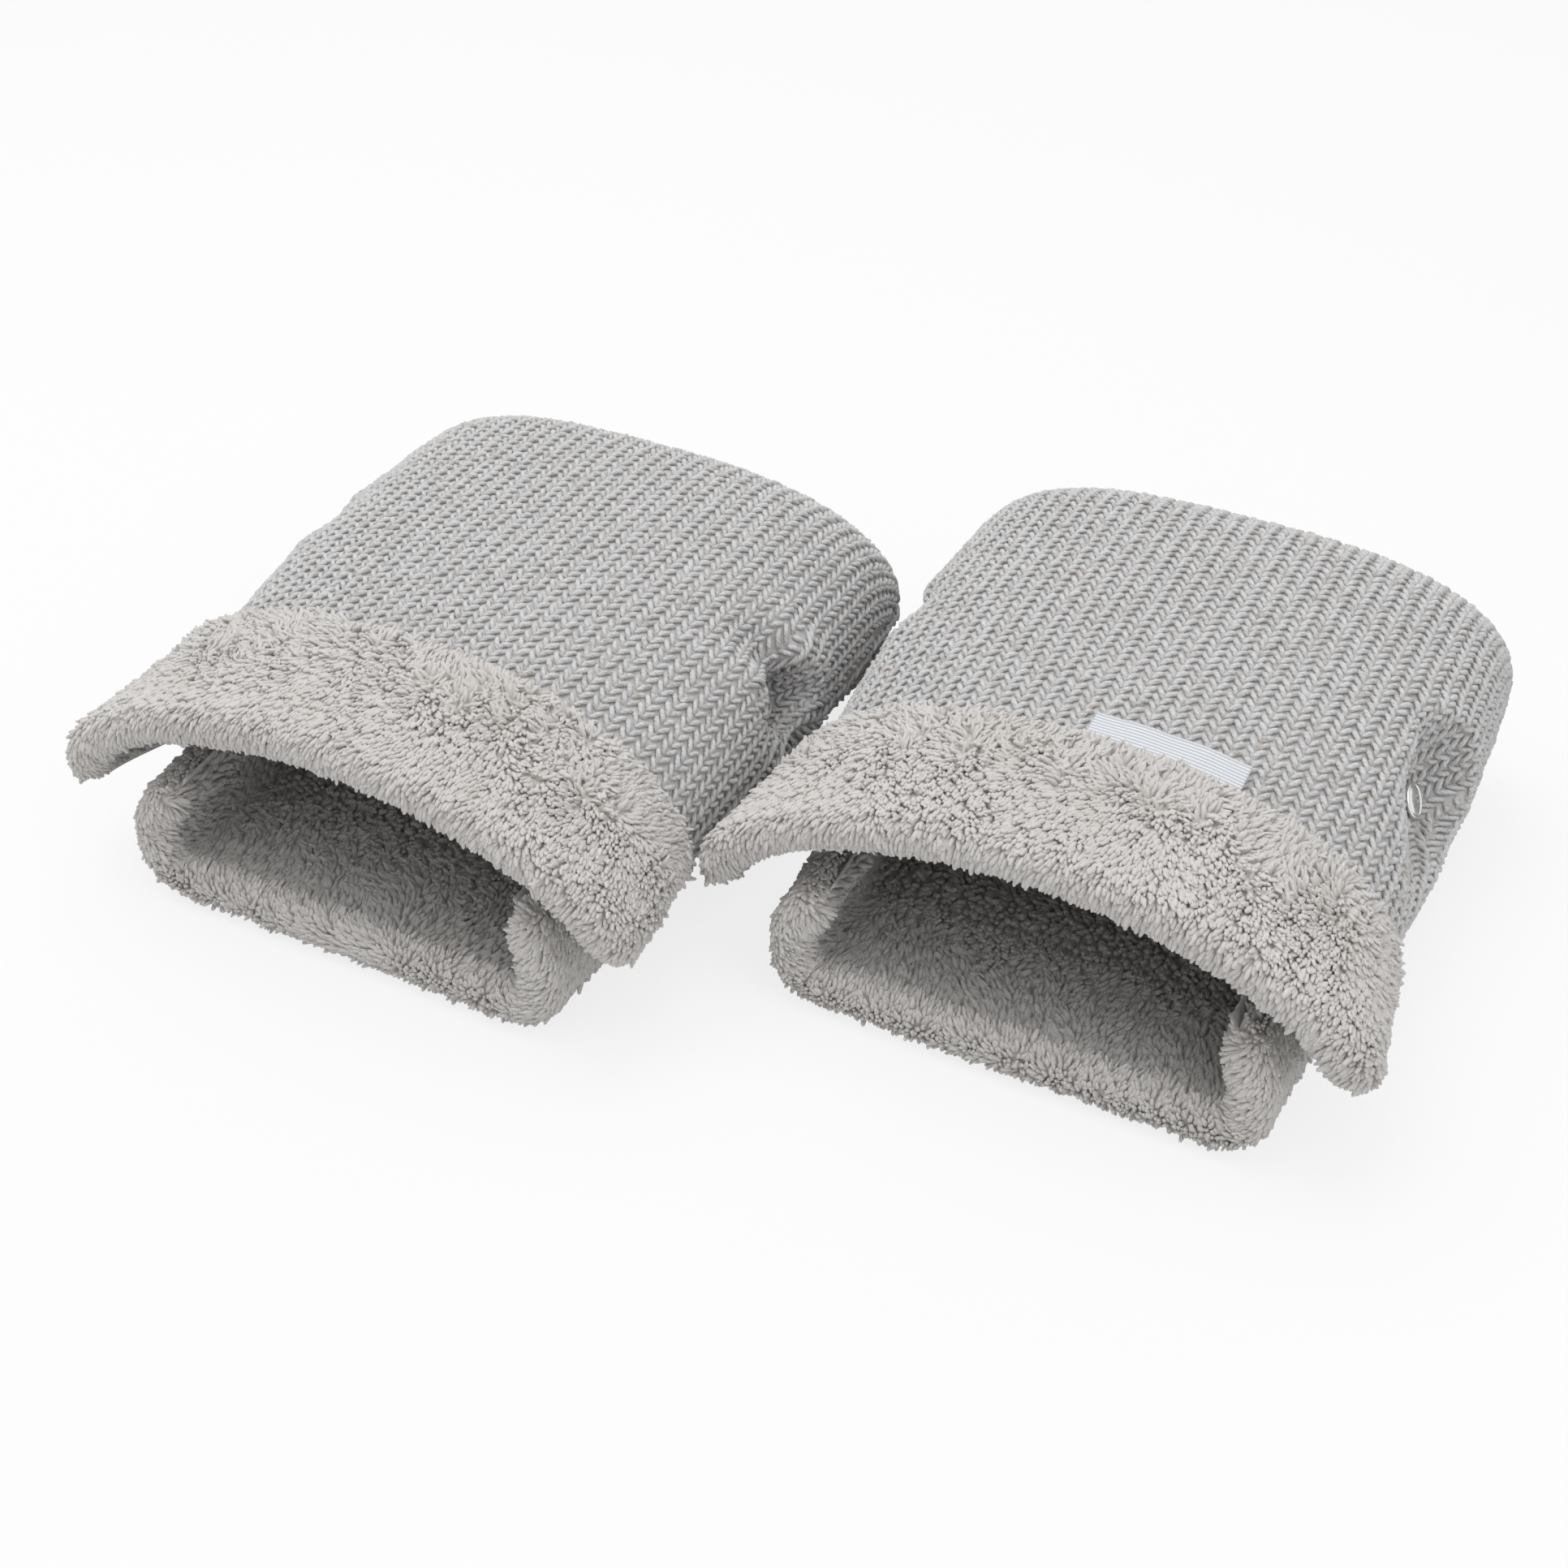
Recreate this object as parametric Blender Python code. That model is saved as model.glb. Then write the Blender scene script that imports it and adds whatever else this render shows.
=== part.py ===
"""A pair of knitted hand muffs for a pram handle, lined and cuffed with teddy fleece.

Each muff is one padded panel folded over at the back. The top half hangs over the sides of the
base half like a lid, and a press stud in a pinched dimple joins the two at each side. A fleece
cuff wraps the front edge of each half. The pram's handlebar lies in the fold, behind the press
studs. Metres, +Z up, +X across the pair, +Y from the mouths to the folds. The origin is on the
resting surface, under the middle of the pair.

A place on a half's knit is given by its distance along the panel from the fold's rearmost line,
by its share of the way from the middle line to the side hem, and by its depth under the knit.
"""

import math

import bmesh
import bpy
import numpy as np
from mathutils import Vector
from mathutils.bvhtree import BVHTree

# Fabrics
KNIT = 0.003
LINING_PILE = 0.008
CUFF_PILE = 0.009
GAP = 0.0003
FLAP_GAP = 0.0008

# The pair
PAIR_GAP = 0.013
PAIR_STAGGER = 0.062

# Outline of a muff, on the knit's outer face
MUFF_LENGTH = 0.278
BODY_HALF_WIDTH = 0.121
FOLD_TAPER = 0.004
CROWN_HEIGHT = 0.117
MOUTH_HEIGHT = 0.102
FOLD_HEIGHT = 0.042
FOLD_LENGTH = 0.052
FOLD_SQUARENESS = 2.4
CORNER_RADIUS = 0.016

# Cross-section of the top half
MOUTH_TAPER = 0.008
MOUTH_FLARE = 0.011
WIDEST_HEIGHT = 0.046
MOUTH_WIDEST_HEIGHT = 0.048
MOUTH_HEM_HEIGHT = 0.042
BACK_HEM_HEIGHT = 0.044
HEM_INSET = 0.009
MOUTH_HEM_INSET = 0.002
SHOULDER_RUN = 0.140
BODY_SQUARENESS = 2.9
MOUTH_SQUARENESS = 1.9

# Cross-section of the base half
BASE_BEND_RADIUS = 0.014
BASE_MOUTH_TAPER = 0.029
BASE_MOUTH_LIP_TOP = 0.048
BASE_MOUTH_KNEE = 0.026
BASE_MOUTH_LEAN = math.radians(30)
BASE_LIFT_RUN = 0.040
PASSAGE_RUN = 0.042

# Cuffs
CUFF_TURN = 0.060
CUFF_INSIDE = 0.050

# Press studs and the dimples that they sit in
SNAP_FROM_FRONT = 0.163
DIMPLE_DEPTH = 0.020
SNAP_HEIGHT = 0.058
HEM_BELOW_SNAP = 0.030
LIP_ABOVE_SNAP = 0.005
SNAP_TILT = math.radians(26)
PINCH_LENGTH = 0.068
PINCH_HEIGHT = 0.048
SEAT_RADIUS = 0.0085
CAP_RADIUS = 0.0075
CAP_HEIGHT = 0.0024
CAP_RIM = 0.0008
POST_RADIUS = 0.0019
POST_HOLE = 0.0024
RIVET_RADIUS = 0.0029
RIVET_THICKNESS = 0.0005
SOCKET_RADIUS = 0.0062
SOCKET_THICKNESS = 0.0034
SOCKET_FLANGE = 0.0009
SOCKET_CUP_RADIUS = 0.0050
SOCKET_BORE = 0.0037
STUD_RADIUS = 0.0060
STUD_FLANGE = 0.0010
STUD_NUB_RADIUS = 0.0034
STUD_NUB_ENTRY = 0.0012
STUD_BORE = 0.0022
SNAP_RUNNING_GAP = 0.0006
BACK_RADIUS = 0.0062
BACK_THICKNESS = 0.0014
LINING_WELL = 0.0090

# Woven label on the right muff
LABEL_LENGTH = 0.060
LABEL_WIDTH = 0.016
LABEL_THICKNESS = 0.0006
LABEL_OFFSET = 0.024

# How finely the fabrics are divided
LINE_STEPS = 60
SECTION_STEPS = 48
FOLD_ROWS = 4
LABEL_COLUMNS = 4
ROLL_ROWS = 3
TOP_COLUMN_SHARES = (0.0, 0.26, 0.48, 0.64, 0.78, 0.90, 1.0)
BASE_COLUMN_SHARES = (0.0, 0.55, 0.64, 0.73, 0.88, 1.0)
BASE_MARK_SHARES = (0.0, 0.55, 0.73, 0.88, 1.0)
PINCH_RING_SHARES = (0.0, 0.35, 0.65, 1.0)
PINCH_SPOKES = 12
TURNED_STEPS = 16
OVERRUN = 0.045
PROBE = 0.0005

# Places that follow from the sizes
PAIR_SPACING = 2 * BODY_HALF_WIDTH + PAIR_GAP
FOLD_HALF_WIDTH = BODY_HALF_WIDTH - FOLD_TAPER
MOUTH_HALF_WIDTH = BODY_HALF_WIDTH - MOUTH_TAPER
BASE_MOUTH_HALF_WIDTH = BODY_HALF_WIDTH - BASE_MOUTH_TAPER
SNAP_ACROSS = BODY_HALF_WIDTH - DIMPLE_DEPTH
HEM_HEIGHT = SNAP_HEIGHT - HEM_BELOW_SNAP
BASE_LIP_TOP = SNAP_HEIGHT + LIP_ABOVE_SNAP
PINCH_REACH = PINCH_LENGTH / 2
PINCH_DROP = PINCH_HEIGHT / 2
BACK_Y = MUFF_LENGTH / 2
FRONT_Y = -MUFF_LENGTH / 2
SNAP_Y = FRONT_Y + SNAP_FROM_FRONT
ROLL_RADIUS = (2 * GAP + KNIT + 2 * CUFF_PILE) / 2
CUFF_LIFT = GAP + CUFF_PILE
SOCKET_FACE = -(KNIT + GAP + SOCKET_THICKNESS)
STUD_FACE = SOCKET_FACE - SNAP_RUNNING_GAP
BASE_SEAT = STUD_FACE - STUD_FLANGE - GAP
BASE_INNER_SEAT = BASE_SEAT - KNIT

# Surfaces: colour, roughness and metallic value
LOOKS = {
    "knit": ((0.62, 0.61, 0.60), 0.95, 0.0),
    "fleece": ((0.70, 0.67, 0.63), 1.0, 0.0),
    "snap": ((0.80, 0.81, 0.82), 0.22, 1.0),
    "label": ((0.80, 0.81, 0.84), 0.60, 0.0),
}


def ease(value, start, end):
    """Goes smoothly from 0 at start to 1 at end."""
    share = min(max((value - start) / (end - start), 0.0), 1.0)
    return share * share * (3 - 2 * share)


def mix(first, second, share):
    return first + (second - first) * share


def superellipse(angle, squareness):
    """A point on the unit superellipse's first quarter: across and up."""
    power = 2 / squareness
    return np.sin(angle) ** power, np.cos(angle) ** power


class Half:
    """The knit's outer face on one half of a muff, swept along its middle line."""

    def __init__(self, line, section, upward):
        self.y, self.z = line
        steps = np.hypot(np.diff(self.y), np.diff(self.z))
        self.distance = np.concatenate([[0.0], np.cumsum(steps)])
        self.section = section
        self.upward = upward

    def along(self, y):
        """Distance from the fold to a depth in the muff, in front of the fold."""
        return float(np.interp(-y, -self.y, self.distance))

    def spine(self, along):
        return np.array([np.interp(along, self.distance, self.y), np.interp(along, self.distance, self.z)])

    def surface(self, along, share):
        y, z = self.spine(along)
        across, rise = self.section(along, abs(share))
        return np.array([math.copysign(across, share), y, z - rise * self.upward])

    def point(self, along, share, depth=0.0):
        """A place under the knit's outer face, or above it where depth is negative."""
        if along < PROBE:
            return self.surface(along, share) - np.array([0.0, depth, 0.0])
        nudge = PROBE / self.distance[-1]
        before, after = max(share - nudge, -1.0), min(share + nudge, 1.0)
        sideways = self.surface(along, after) - self.surface(along, before)
        forward = self.surface(along + PROBE, share) - self.surface(along - PROBE, share)
        normal = np.cross(forward, sideways) * self.upward
        normal /= np.linalg.norm(normal)
        return self.surface(along, share) - normal * depth


def spaced(across, height, share, marks=(0, -1), mark_shares=(0.0, 1.0), hold=0.0):
    """A place on an outline at a share of its length; as far as hold says, its marks keep their own shares."""
    length = np.concatenate([[0.0], np.cumsum(np.hypot(np.diff(across), np.diff(height)))])
    wanted = mix(share * length[-1], np.interp(share, mark_shares, length[list(marks)]), hold)
    return float(np.interp(wanted, length, across)), float(np.interp(wanted, length, height))


def top_line():
    """The top half's middle line: over the fold, then down a slight slope to the mouth."""
    turn = np.linspace(0.0, math.pi / 2, LINE_STEPS)
    rise, reach = superellipse(turn, FOLD_SQUARENESS)
    fold_y = BACK_Y - FOLD_LENGTH + FOLD_LENGTH * reach
    fold_z = FOLD_HEIGHT + (CROWN_HEIGHT - FOLD_HEIGHT) * rise
    run = np.linspace(0.0, 1.0, LINE_STEPS)[1:]
    flat_y = mix(BACK_Y - FOLD_LENGTH, FRONT_Y, run)
    flat_z = mix(CROWN_HEIGHT, MOUTH_HEIGHT, run**2)
    return np.concatenate([fold_y, flat_y]), np.concatenate([fold_z, flat_z])


def base_line():
    """The base half's middle line: under the fold, flat, then up onto the cuff's lower flap."""
    turn = np.linspace(0.0, math.pi / 2, LINE_STEPS)
    fall, reach = superellipse(turn, FOLD_SQUARENESS)
    fold_y = BACK_Y - FOLD_LENGTH + FOLD_LENGTH * reach
    fold_z = FOLD_HEIGHT * (1 - fall)
    flat_y = np.linspace(BACK_Y - FOLD_LENGTH, FRONT_Y, LINE_STEPS)[1:]
    lift_end = FRONT_Y + ROLL_RADIUS + CUFF_TURN
    flat_z = np.array([CUFF_LIFT * ease(-y, -lift_end - BASE_LIFT_RUN, -lift_end) for y in flat_y])
    return np.concatenate([fold_y, flat_y]), np.concatenate([fold_z, flat_z])


def corner(y):
    """How far the rounded corner beside the fold draws a half in, seen from above."""
    left = 1 - min((BACK_Y - y) / CORNER_RADIUS, 1.0)
    return CORNER_RADIUS * (1 - math.sqrt(1 - left * left))


def top_section(along, share):
    """Across and below the middle line: a squarish arch, then a skirt that curls in to the hem."""
    y, height = TOP.spine(along)
    mouth = ease(along, TOP_SNAP, TOP_EDGE)
    half = mix(mix(FOLD_HALF_WIDTH, BODY_HALF_WIDTH, ease(along, 0.0, SHOULDER_RUN)), MOUTH_HALF_WIDTH, mouth)
    half += MOUTH_FLARE * ease(along, TOP_EDGE - CUFF_TURN, TOP_EDGE) - corner(y)
    lowest = FOLD_HEIGHT + GAP / 2
    widest = min(mix(WIDEST_HEIGHT, MOUTH_WIDEST_HEIGHT, mouth), mix(lowest, max(height, lowest), 1 / 2))
    hem = mix(BACK_HEM_HEIGHT, HEM_HEIGHT, ease(along, TOP_SNAP / 2, TOP_SNAP))
    hem = min(mix(hem, MOUTH_HEM_HEIGHT, mouth), widest)
    hem = mix(lowest, hem, ease(along, 0.0, FOLD_LENGTH))
    inset = mix(HEM_INSET, MOUTH_HEM_INSET, mouth) * (widest - hem) / (WIDEST_HEIGHT - HEM_HEIGHT)
    squareness = mix(BODY_SQUARENESS, MOUTH_SQUARENESS, mouth)
    out, up = superellipse(np.linspace(0.0, math.pi / 2, SECTION_STEPS), squareness)
    curl = np.linspace(0.0, 1.0, SECTION_STEPS)[1:]
    across = np.concatenate([half * out, half - inset * curl**2])
    below = height - np.concatenate([mix(widest, height, up), mix(widest, hem, curl)])
    return spaced(across, below, share)


def base_section(along, share):
    """Across and above the middle line: a flat floor, a bend, a riser and a lip that leans inward."""
    y, height = BASE.spine(along)
    passage = BASE_SNAP - PASSAGE_RUN
    seat = ease(along, passage, BASE_SNAP - SEAT_RADIUS)
    mouth = ease(along, BASE_SNAP + SEAT_RADIUS, BASE_EDGE)
    half = mix(mix(FOLD_HALF_WIDTH, BASE_WAIST, ease(along, 0.0, passage)), BASE_MOUTH_HALF_WIDTH, mouth)
    half -= corner(y)
    lean = mix(SNAP_TILT * seat, BASE_MOUTH_LEAN, mouth)
    bend = min(BASE_BEND_RADIUS, max(FOLD_HEIGHT - GAP / 2 - height, 0.0))
    knee = mix(mix(bend, BASE_KNEE, seat), BASE_MOUTH_KNEE, mouth)
    lip = mix(BASE_LIP_TOP - BASE_KNEE, BASE_MOUTH_LIP_TOP - BASE_MOUTH_KNEE, mouth) * seat
    turn = np.linspace(0.0, math.pi / 2, SECTION_STEPS)
    flat = half - BASE_BEND_RADIUS
    floor = flat * np.linspace(0.0, 1.0, SECTION_STEPS)[:-1]
    across = np.concatenate([floor, flat + BASE_BEND_RADIUS * np.sin(turn), [half, half - lip * math.tan(lean)]])
    above = np.concatenate([0.0 * floor, bend * (1 - np.cos(turn)), [knee, knee + lip]])
    marks = (0, SECTION_STEPS - 1, 2 * SECTION_STEPS - 2, 2 * SECTION_STEPS - 1, 2 * SECTION_STEPS)
    return spaced(across, above, share, marks, BASE_MARK_SHARES, seat)


def snap_normal(side):
    return np.array([side * math.cos(SNAP_TILT), 0.0, math.sin(SNAP_TILT)])


def snap_place(side):
    """The middle of a press stud's seat, on the outer face of the pinched knit."""
    return np.array([side * SNAP_ACROSS, SNAP_Y, SNAP_HEIGHT])


def base_seat():
    """The base's half width and the height of its knee, where its leaning lip carries the stud."""
    seat = snap_place(1) + snap_normal(1) * BASE_SEAT
    knee = seat[2] - SEAT_RADIUS * math.cos(SNAP_TILT)
    return seat[0] + SEAT_RADIUS * math.sin(SNAP_TILT), knee


TOP = Half(top_line(), top_section, 1.0)
BASE = Half(base_line(), base_section, -1.0)
TOP_SNAP = TOP.along(SNAP_Y)
BASE_SNAP = BASE.along(SNAP_Y)
TOP_EDGE = TOP.along(FRONT_Y + ROLL_RADIUS)
BASE_EDGE = BASE.along(FRONT_Y + ROLL_RADIUS)
BASE_WAIST, BASE_KNEE = base_seat()


def columns(shares):
    """The shares from one side hem to the other."""
    return [-share for share in reversed(shares[1:])] + list(shares)


def rows(half, edge, snap):
    """Distances along a half's knit, from the fold past the press studs to the ends of the cuff's flaps."""
    fold_end = half.along(BACK_Y - FOLD_LENGTH)
    fold = list(np.linspace(GAP / 2, fold_end, FOLD_ROWS + 1))
    body = [snap - PASSAGE_RUN, snap - SEAT_RADIUS, snap + SEAT_RADIUS, mix(snap, edge - CUFF_TURN, 1 / 2)]
    return fold + body + [edge - CUFF_TURN, edge - CUFF_INSIDE, edge - CUFF_INSIDE / 2, edge]


def grid(half, distances, shares, depth):
    return np.array([[half.point(along, share, depth) for share in shares] for along in distances])


def add_sheet(mesh, points, cyclic, turn_row):
    """Adds a grid of points to the mesh, with its triangles, and returns its vertices.

    The diagonals change over at the turn row, so that a layer folded back there has them where the
    layer beside it has them.
    """
    verts = [[mesh.verts.new(place) for place in row] for row in points]
    count = len(verts[0])
    for index, (lower, upper) in enumerate(zip(verts, verts[1:])):
        if index >= turn_row:
            lower, upper = upper, lower
        for column in range(count if cyclic else count - 1):
            after = (column + 1) % count
            mesh.faces.new((lower[column], lower[after], upper[after]))
            mesh.faces.new((lower[column], upper[after], upper[column]))
    return verts


def join_edges(mesh, first, second):
    """Closes the strip between two runs of vertices of the same length."""
    for here in range(len(first) - 1):
        mesh.faces.new((first[here], first[here + 1], second[here + 1]))
        mesh.faces.new((first[here], second[here + 1], second[here]))


def shell(outer, inner, cyclic=False, turn_row=LINE_STEPS):
    """One closed body between two grids of points."""
    mesh = bmesh.new()
    front, back = (add_sheet(mesh, points, cyclic, turn_row) for points in (outer, inner))
    for row in (0, -1):
        ring = [front[row][0]] if cyclic else []
        back_ring = [back[row][0]] if cyclic else []
        join_edges(mesh, front[row] + ring, back[row] + back_ring)
    if not cyclic:
        for column in (0, -1):
            join_edges(mesh, [row[column] for row in front], [row[column] for row in back])
    bmesh.ops.recalc_face_normals(mesh, faces=mesh.faces)
    return mesh


def turned(profile, side):
    """A body turned round a press stud's axis from its radii and its heights over the seat."""
    mesh = bmesh.new()
    verts = [mesh.verts.new((radius, 0.0, height)) for radius, height in profile]
    edges = [mesh.edges.new(pair) for pair in zip(verts, verts[1:] + verts[:1])]
    bmesh.ops.spin(
        mesh, geom=verts + edges, cent=(0, 0, 0), axis=(0, 0, 1), angle=math.tau, steps=TURNED_STEPS
    )
    bmesh.ops.remove_doubles(mesh, verts=mesh.verts, dist=GAP / 100)
    bmesh.ops.dissolve_degenerate(mesh, edges=mesh.edges, dist=GAP / 100)
    loose = [edge for edge in mesh.edges if not edge.link_faces]
    bmesh.ops.delete(mesh, geom=loose, context="EDGES")
    bmesh.ops.recalc_face_normals(mesh, faces=mesh.faces)
    turn = Vector((0, 0, 1)).rotation_difference(Vector(snap_normal(side)))
    bmesh.ops.rotate(mesh, verts=mesh.verts, cent=(0, 0, 0), matrix=turn.to_matrix())
    bmesh.ops.translate(mesh, verts=mesh.verts, vec=snap_place(side))
    return mesh


def material(name):
    """The fabric or metal of a piece, made once."""
    found = bpy.data.materials.get(name)
    if found:
        return found
    colour, roughness, metallic = LOOKS[name]
    made = bpy.data.materials.new(name)
    made.use_nodes = True
    shader = made.node_tree.nodes["Principled BSDF"]
    shader.inputs["Base Color"].default_value = (*colour, 1.0)
    shader.inputs["Roughness"].default_value = roughness
    shader.inputs["Metallic"].default_value = metallic
    made.diffuse_color = (*colour, 1.0)
    return made


def link(name, mesh, look, carrier, origin, smooth=True):
    """Makes an object from a mesh in the muff's own coordinates, with its origin at the carrier."""
    bmesh.ops.translate(mesh, verts=mesh.verts, vec=-Vector(origin))
    data = bpy.data.meshes.new(name)
    mesh.to_mesh(data)
    mesh.free()
    if smooth:
        data.shade_smooth()
        data.set_sharp_from_angle(angle=math.radians(40))
    made = bpy.data.objects.new(name, data)
    made.data.materials.append(material(look))
    bpy.context.scene.collection.objects.link(made)
    made.parent = carrier
    return made


def empty(name, carrier, location):
    made = bpy.data.objects.new(name, None)
    made.location = location
    made.parent = carrier
    bpy.context.scene.collection.objects.link(made)
    return made


def cutter(name, carrier, origin, steps, drop, reach):
    """Rods along both press studs' axes, round or oval."""
    mesh = bmesh.new()
    for side in (-1, 1):
        rod = bmesh.ops.create_cone(
            mesh, cap_ends=True, segments=steps, radius1=drop, radius2=drop, depth=2 * OVERRUN
        )
        bmesh.ops.scale(mesh, verts=rod["verts"], vec=(1, reach / drop, 1))
        turn = Vector((0, 0, 1)).rotation_difference(Vector(snap_normal(side)))
        bmesh.ops.rotate(mesh, verts=rod["verts"], cent=(0, 0, 0), matrix=turn.to_matrix())
        bmesh.ops.translate(mesh, verts=rod["verts"], vec=snap_place(side))
    made = link(name, mesh, "snap", carrier, origin)
    made.hide_render = True
    made.display_type = "WIRE"
    return made


def cut(body, tool):
    hole = body.modifiers.new("snap_holes", "BOOLEAN")
    hole.operation = "DIFFERENCE"
    hole.solver = "EXACT"
    hole.object = tool


def knit_layer(half, edge, shares, snap):
    distances = rows(half, edge, snap)
    return shell(grid(half, distances, shares, 0.0), grid(half, distances, shares, KNIT))


def lining_layer(half, edge, shares, snap):
    """The fleece under the knit, from the fold to the cuff's inner flap."""
    distances = rows(half, edge, snap)[:-2]
    distances[-1] -= FLAP_GAP
    outer = grid(half, distances, shares, KNIT + GAP)
    return shell(outer, grid(half, distances, shares, KNIT + GAP + LINING_PILE))


def cuff(half, edge, shares):
    """A fleece band folded round the knit's front edge, its free ends rounded."""
    outside, inside = -GAP - CUFF_PILE, KNIT + GAP + CUFF_PILE
    middle = (outside + inside) / 2
    hollow = KNIT / 2 + GAP
    flap = [edge - CUFF_INSIDE, edge - CUFF_INSIDE / 2, edge]
    fleece = [(edge - CUFF_TURN, mix(-GAP, outside, 1 / 2))] + [(along, outside) for along in flap]
    seat = [(along, -GAP) for along in [edge - CUFF_TURN] + flap]
    for turn in np.linspace(0.0, math.pi, ROLL_ROWS + 2)[1:-1]:
        fleece.append((edge + ROLL_RADIUS * math.sin(turn), middle - ROLL_RADIUS * math.cos(turn)))
        seat.append((edge + hollow * math.sin(turn), middle - hollow * math.cos(turn)))
    fleece += [(along, inside) for along in reversed(flap)]
    seat += [(along, KNIT + GAP) for along in reversed(flap)]
    outer = [[half.point(along, share, depth) for share in shares] for along, depth in fleece]
    inner = [[half.point(along, share, depth) for share in shares] for along, depth in seat]
    return shell(outer, inner, turn_row=len(outer) // 2)


def skin_tree():
    """The top half's knit face round the press studs, finely divided, to be probed by rays."""
    distances = np.linspace(TOP_SNAP - 2 * PINCH_REACH, TOP_SNAP + 2 * PINCH_REACH, LINE_STEPS)
    shares = np.linspace(-1.0, 1.0, 2 * LINE_STEPS)
    points = grid(TOP, distances, shares, 0.0)
    wide = len(shares)
    faces = [
        (row * wide + column, row * wide + column + 1, (row + 1) * wide + column + 1, (row + 1) * wide + column)
        for row in range(len(distances) - 1)
        for column in range(wide - 1)
    ]
    return BVHTree.FromPolygons([Vector(place) for place in points.reshape(-1, 3)], faces)


def pinch(tree, side):
    """A funnel of fabric, pressed flat at the press stud's seat and level with the body at its rim."""
    normal = Vector(snap_normal(side))
    seat = Vector(snap_place(side))
    ahead = Vector((0, 1, 0))
    upward = normal.cross(ahead)
    rings = [(POST_HOLE, POST_HOLE, 1.0)]
    for share in PINCH_RING_SHARES:
        reach, drop = mix(SEAT_RADIUS, PINCH_REACH, share), mix(SEAT_RADIUS, PINCH_DROP, share)
        rings.append((reach, drop, 1 - ease(share, 0.0, 1.0)))
    outer, inner = [], []
    for reach, drop, press in rings:
        outer.append([])
        inner.append([])
        for spoke in range(PINCH_SPOKES):
            angle = math.tau * spoke / PINCH_SPOKES
            foot = seat + ahead * reach * math.cos(angle) + upward * drop * math.sin(angle)
            height = tree.ray_cast(foot + normal * OVERRUN, -normal)[0]
            level = (height - foot).dot(normal) * (1 - press)
            outer[-1].append(foot + normal * level)
            inner[-1].append(foot + normal * (level - KNIT))
    return shell(outer, inner, cyclic=True)


def dome(radius, rim, crest):
    """Radii and heights over a cap's rounded top, from the middle to its rim."""
    turns = np.linspace(0.0, math.pi / 2, 4)
    return [(radius * math.sin(turn), mix(rim, crest, math.cos(turn))) for turn in turns]


def snap_cap(side):
    """The bright cap outside the dimple, with the riveted post that holds the socket."""
    web_end = -(KNIT + GAP + SOCKET_FLANGE)
    rivet = web_end - GAP
    profile = dome(CAP_RADIUS, GAP + CAP_RIM, CAP_HEIGHT)
    profile += [(CAP_RADIUS - CAP_RIM, GAP), (POST_RADIUS, GAP), (POST_RADIUS, rivet)]
    profile += [(RIVET_RADIUS, rivet), (RIVET_RADIUS, rivet - RIVET_THICKNESS), (0.0, rivet - RIVET_THICKNESS)]
    return turned(profile, side)


def snap_socket(side):
    """A flanged cup behind the pinched knit, open towards the stud."""
    seat = -(KNIT + GAP)
    web = seat - SOCKET_FLANGE
    profile = [(POST_HOLE, seat), (SOCKET_RADIUS, seat), (SOCKET_RADIUS, web)]
    profile += [(SOCKET_CUP_RADIUS, web), (SOCKET_CUP_RADIUS, SOCKET_FACE), (SOCKET_BORE, SOCKET_FACE)]
    profile += [(SOCKET_BORE, web), (POST_HOLE, web)]
    return turned(profile, side)


def snap_stud(side):
    """A flange on the base's lip with a hollow nub that enters the socket."""
    tip = SOCKET_FACE + STUD_NUB_ENTRY
    foot = STUD_FACE - STUD_FLANGE
    chamfer = STUD_NUB_RADIUS - STUD_BORE
    profile = [(STUD_BORE, foot), (STUD_RADIUS, foot), (STUD_RADIUS, STUD_FACE)]
    profile += [(STUD_NUB_RADIUS, STUD_FACE), (STUD_NUB_RADIUS, tip - chamfer / 2)]
    profile += [(STUD_NUB_RADIUS - chamfer / 2, tip), (STUD_BORE, tip)]
    return turned(profile, side)


def snap_back(side):
    """The back cap inside the base's lip, its post up the stud's bore."""
    seat = BASE_INNER_SEAT - GAP
    profile = [(POST_RADIUS, seat), (POST_RADIUS, STUD_FACE), (0.0, STUD_FACE)]
    profile += [(radius, seat - BACK_THICKNESS + CAP_RIM - height) for radius, height in dome(BACK_RADIUS, 0.0, CAP_RIM)]
    profile += [(BACK_RADIUS, seat)]
    return turned(profile, side)


def label():
    """A woven tape on the knit, just behind the cuff's turned-back edge."""
    front = TOP_EDGE - CUFF_TURN - GAP
    outline = np.array([TOP.surface(front, share) for share in np.linspace(0.0, 1.0, LINE_STEPS)])
    girth = np.linalg.norm(np.diff(outline, axis=0), axis=1).sum()
    ends = LABEL_OFFSET - LABEL_LENGTH / 2, LABEL_OFFSET + LABEL_LENGTH / 2
    shares = np.linspace(*ends, LABEL_COLUMNS + 1) / girth
    distances = [front - LABEL_WIDTH, front]
    return shell(grid(TOP, distances, shares, -GAP - LABEL_THICKNESS), grid(TOP, distances, shares, -GAP))


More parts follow.
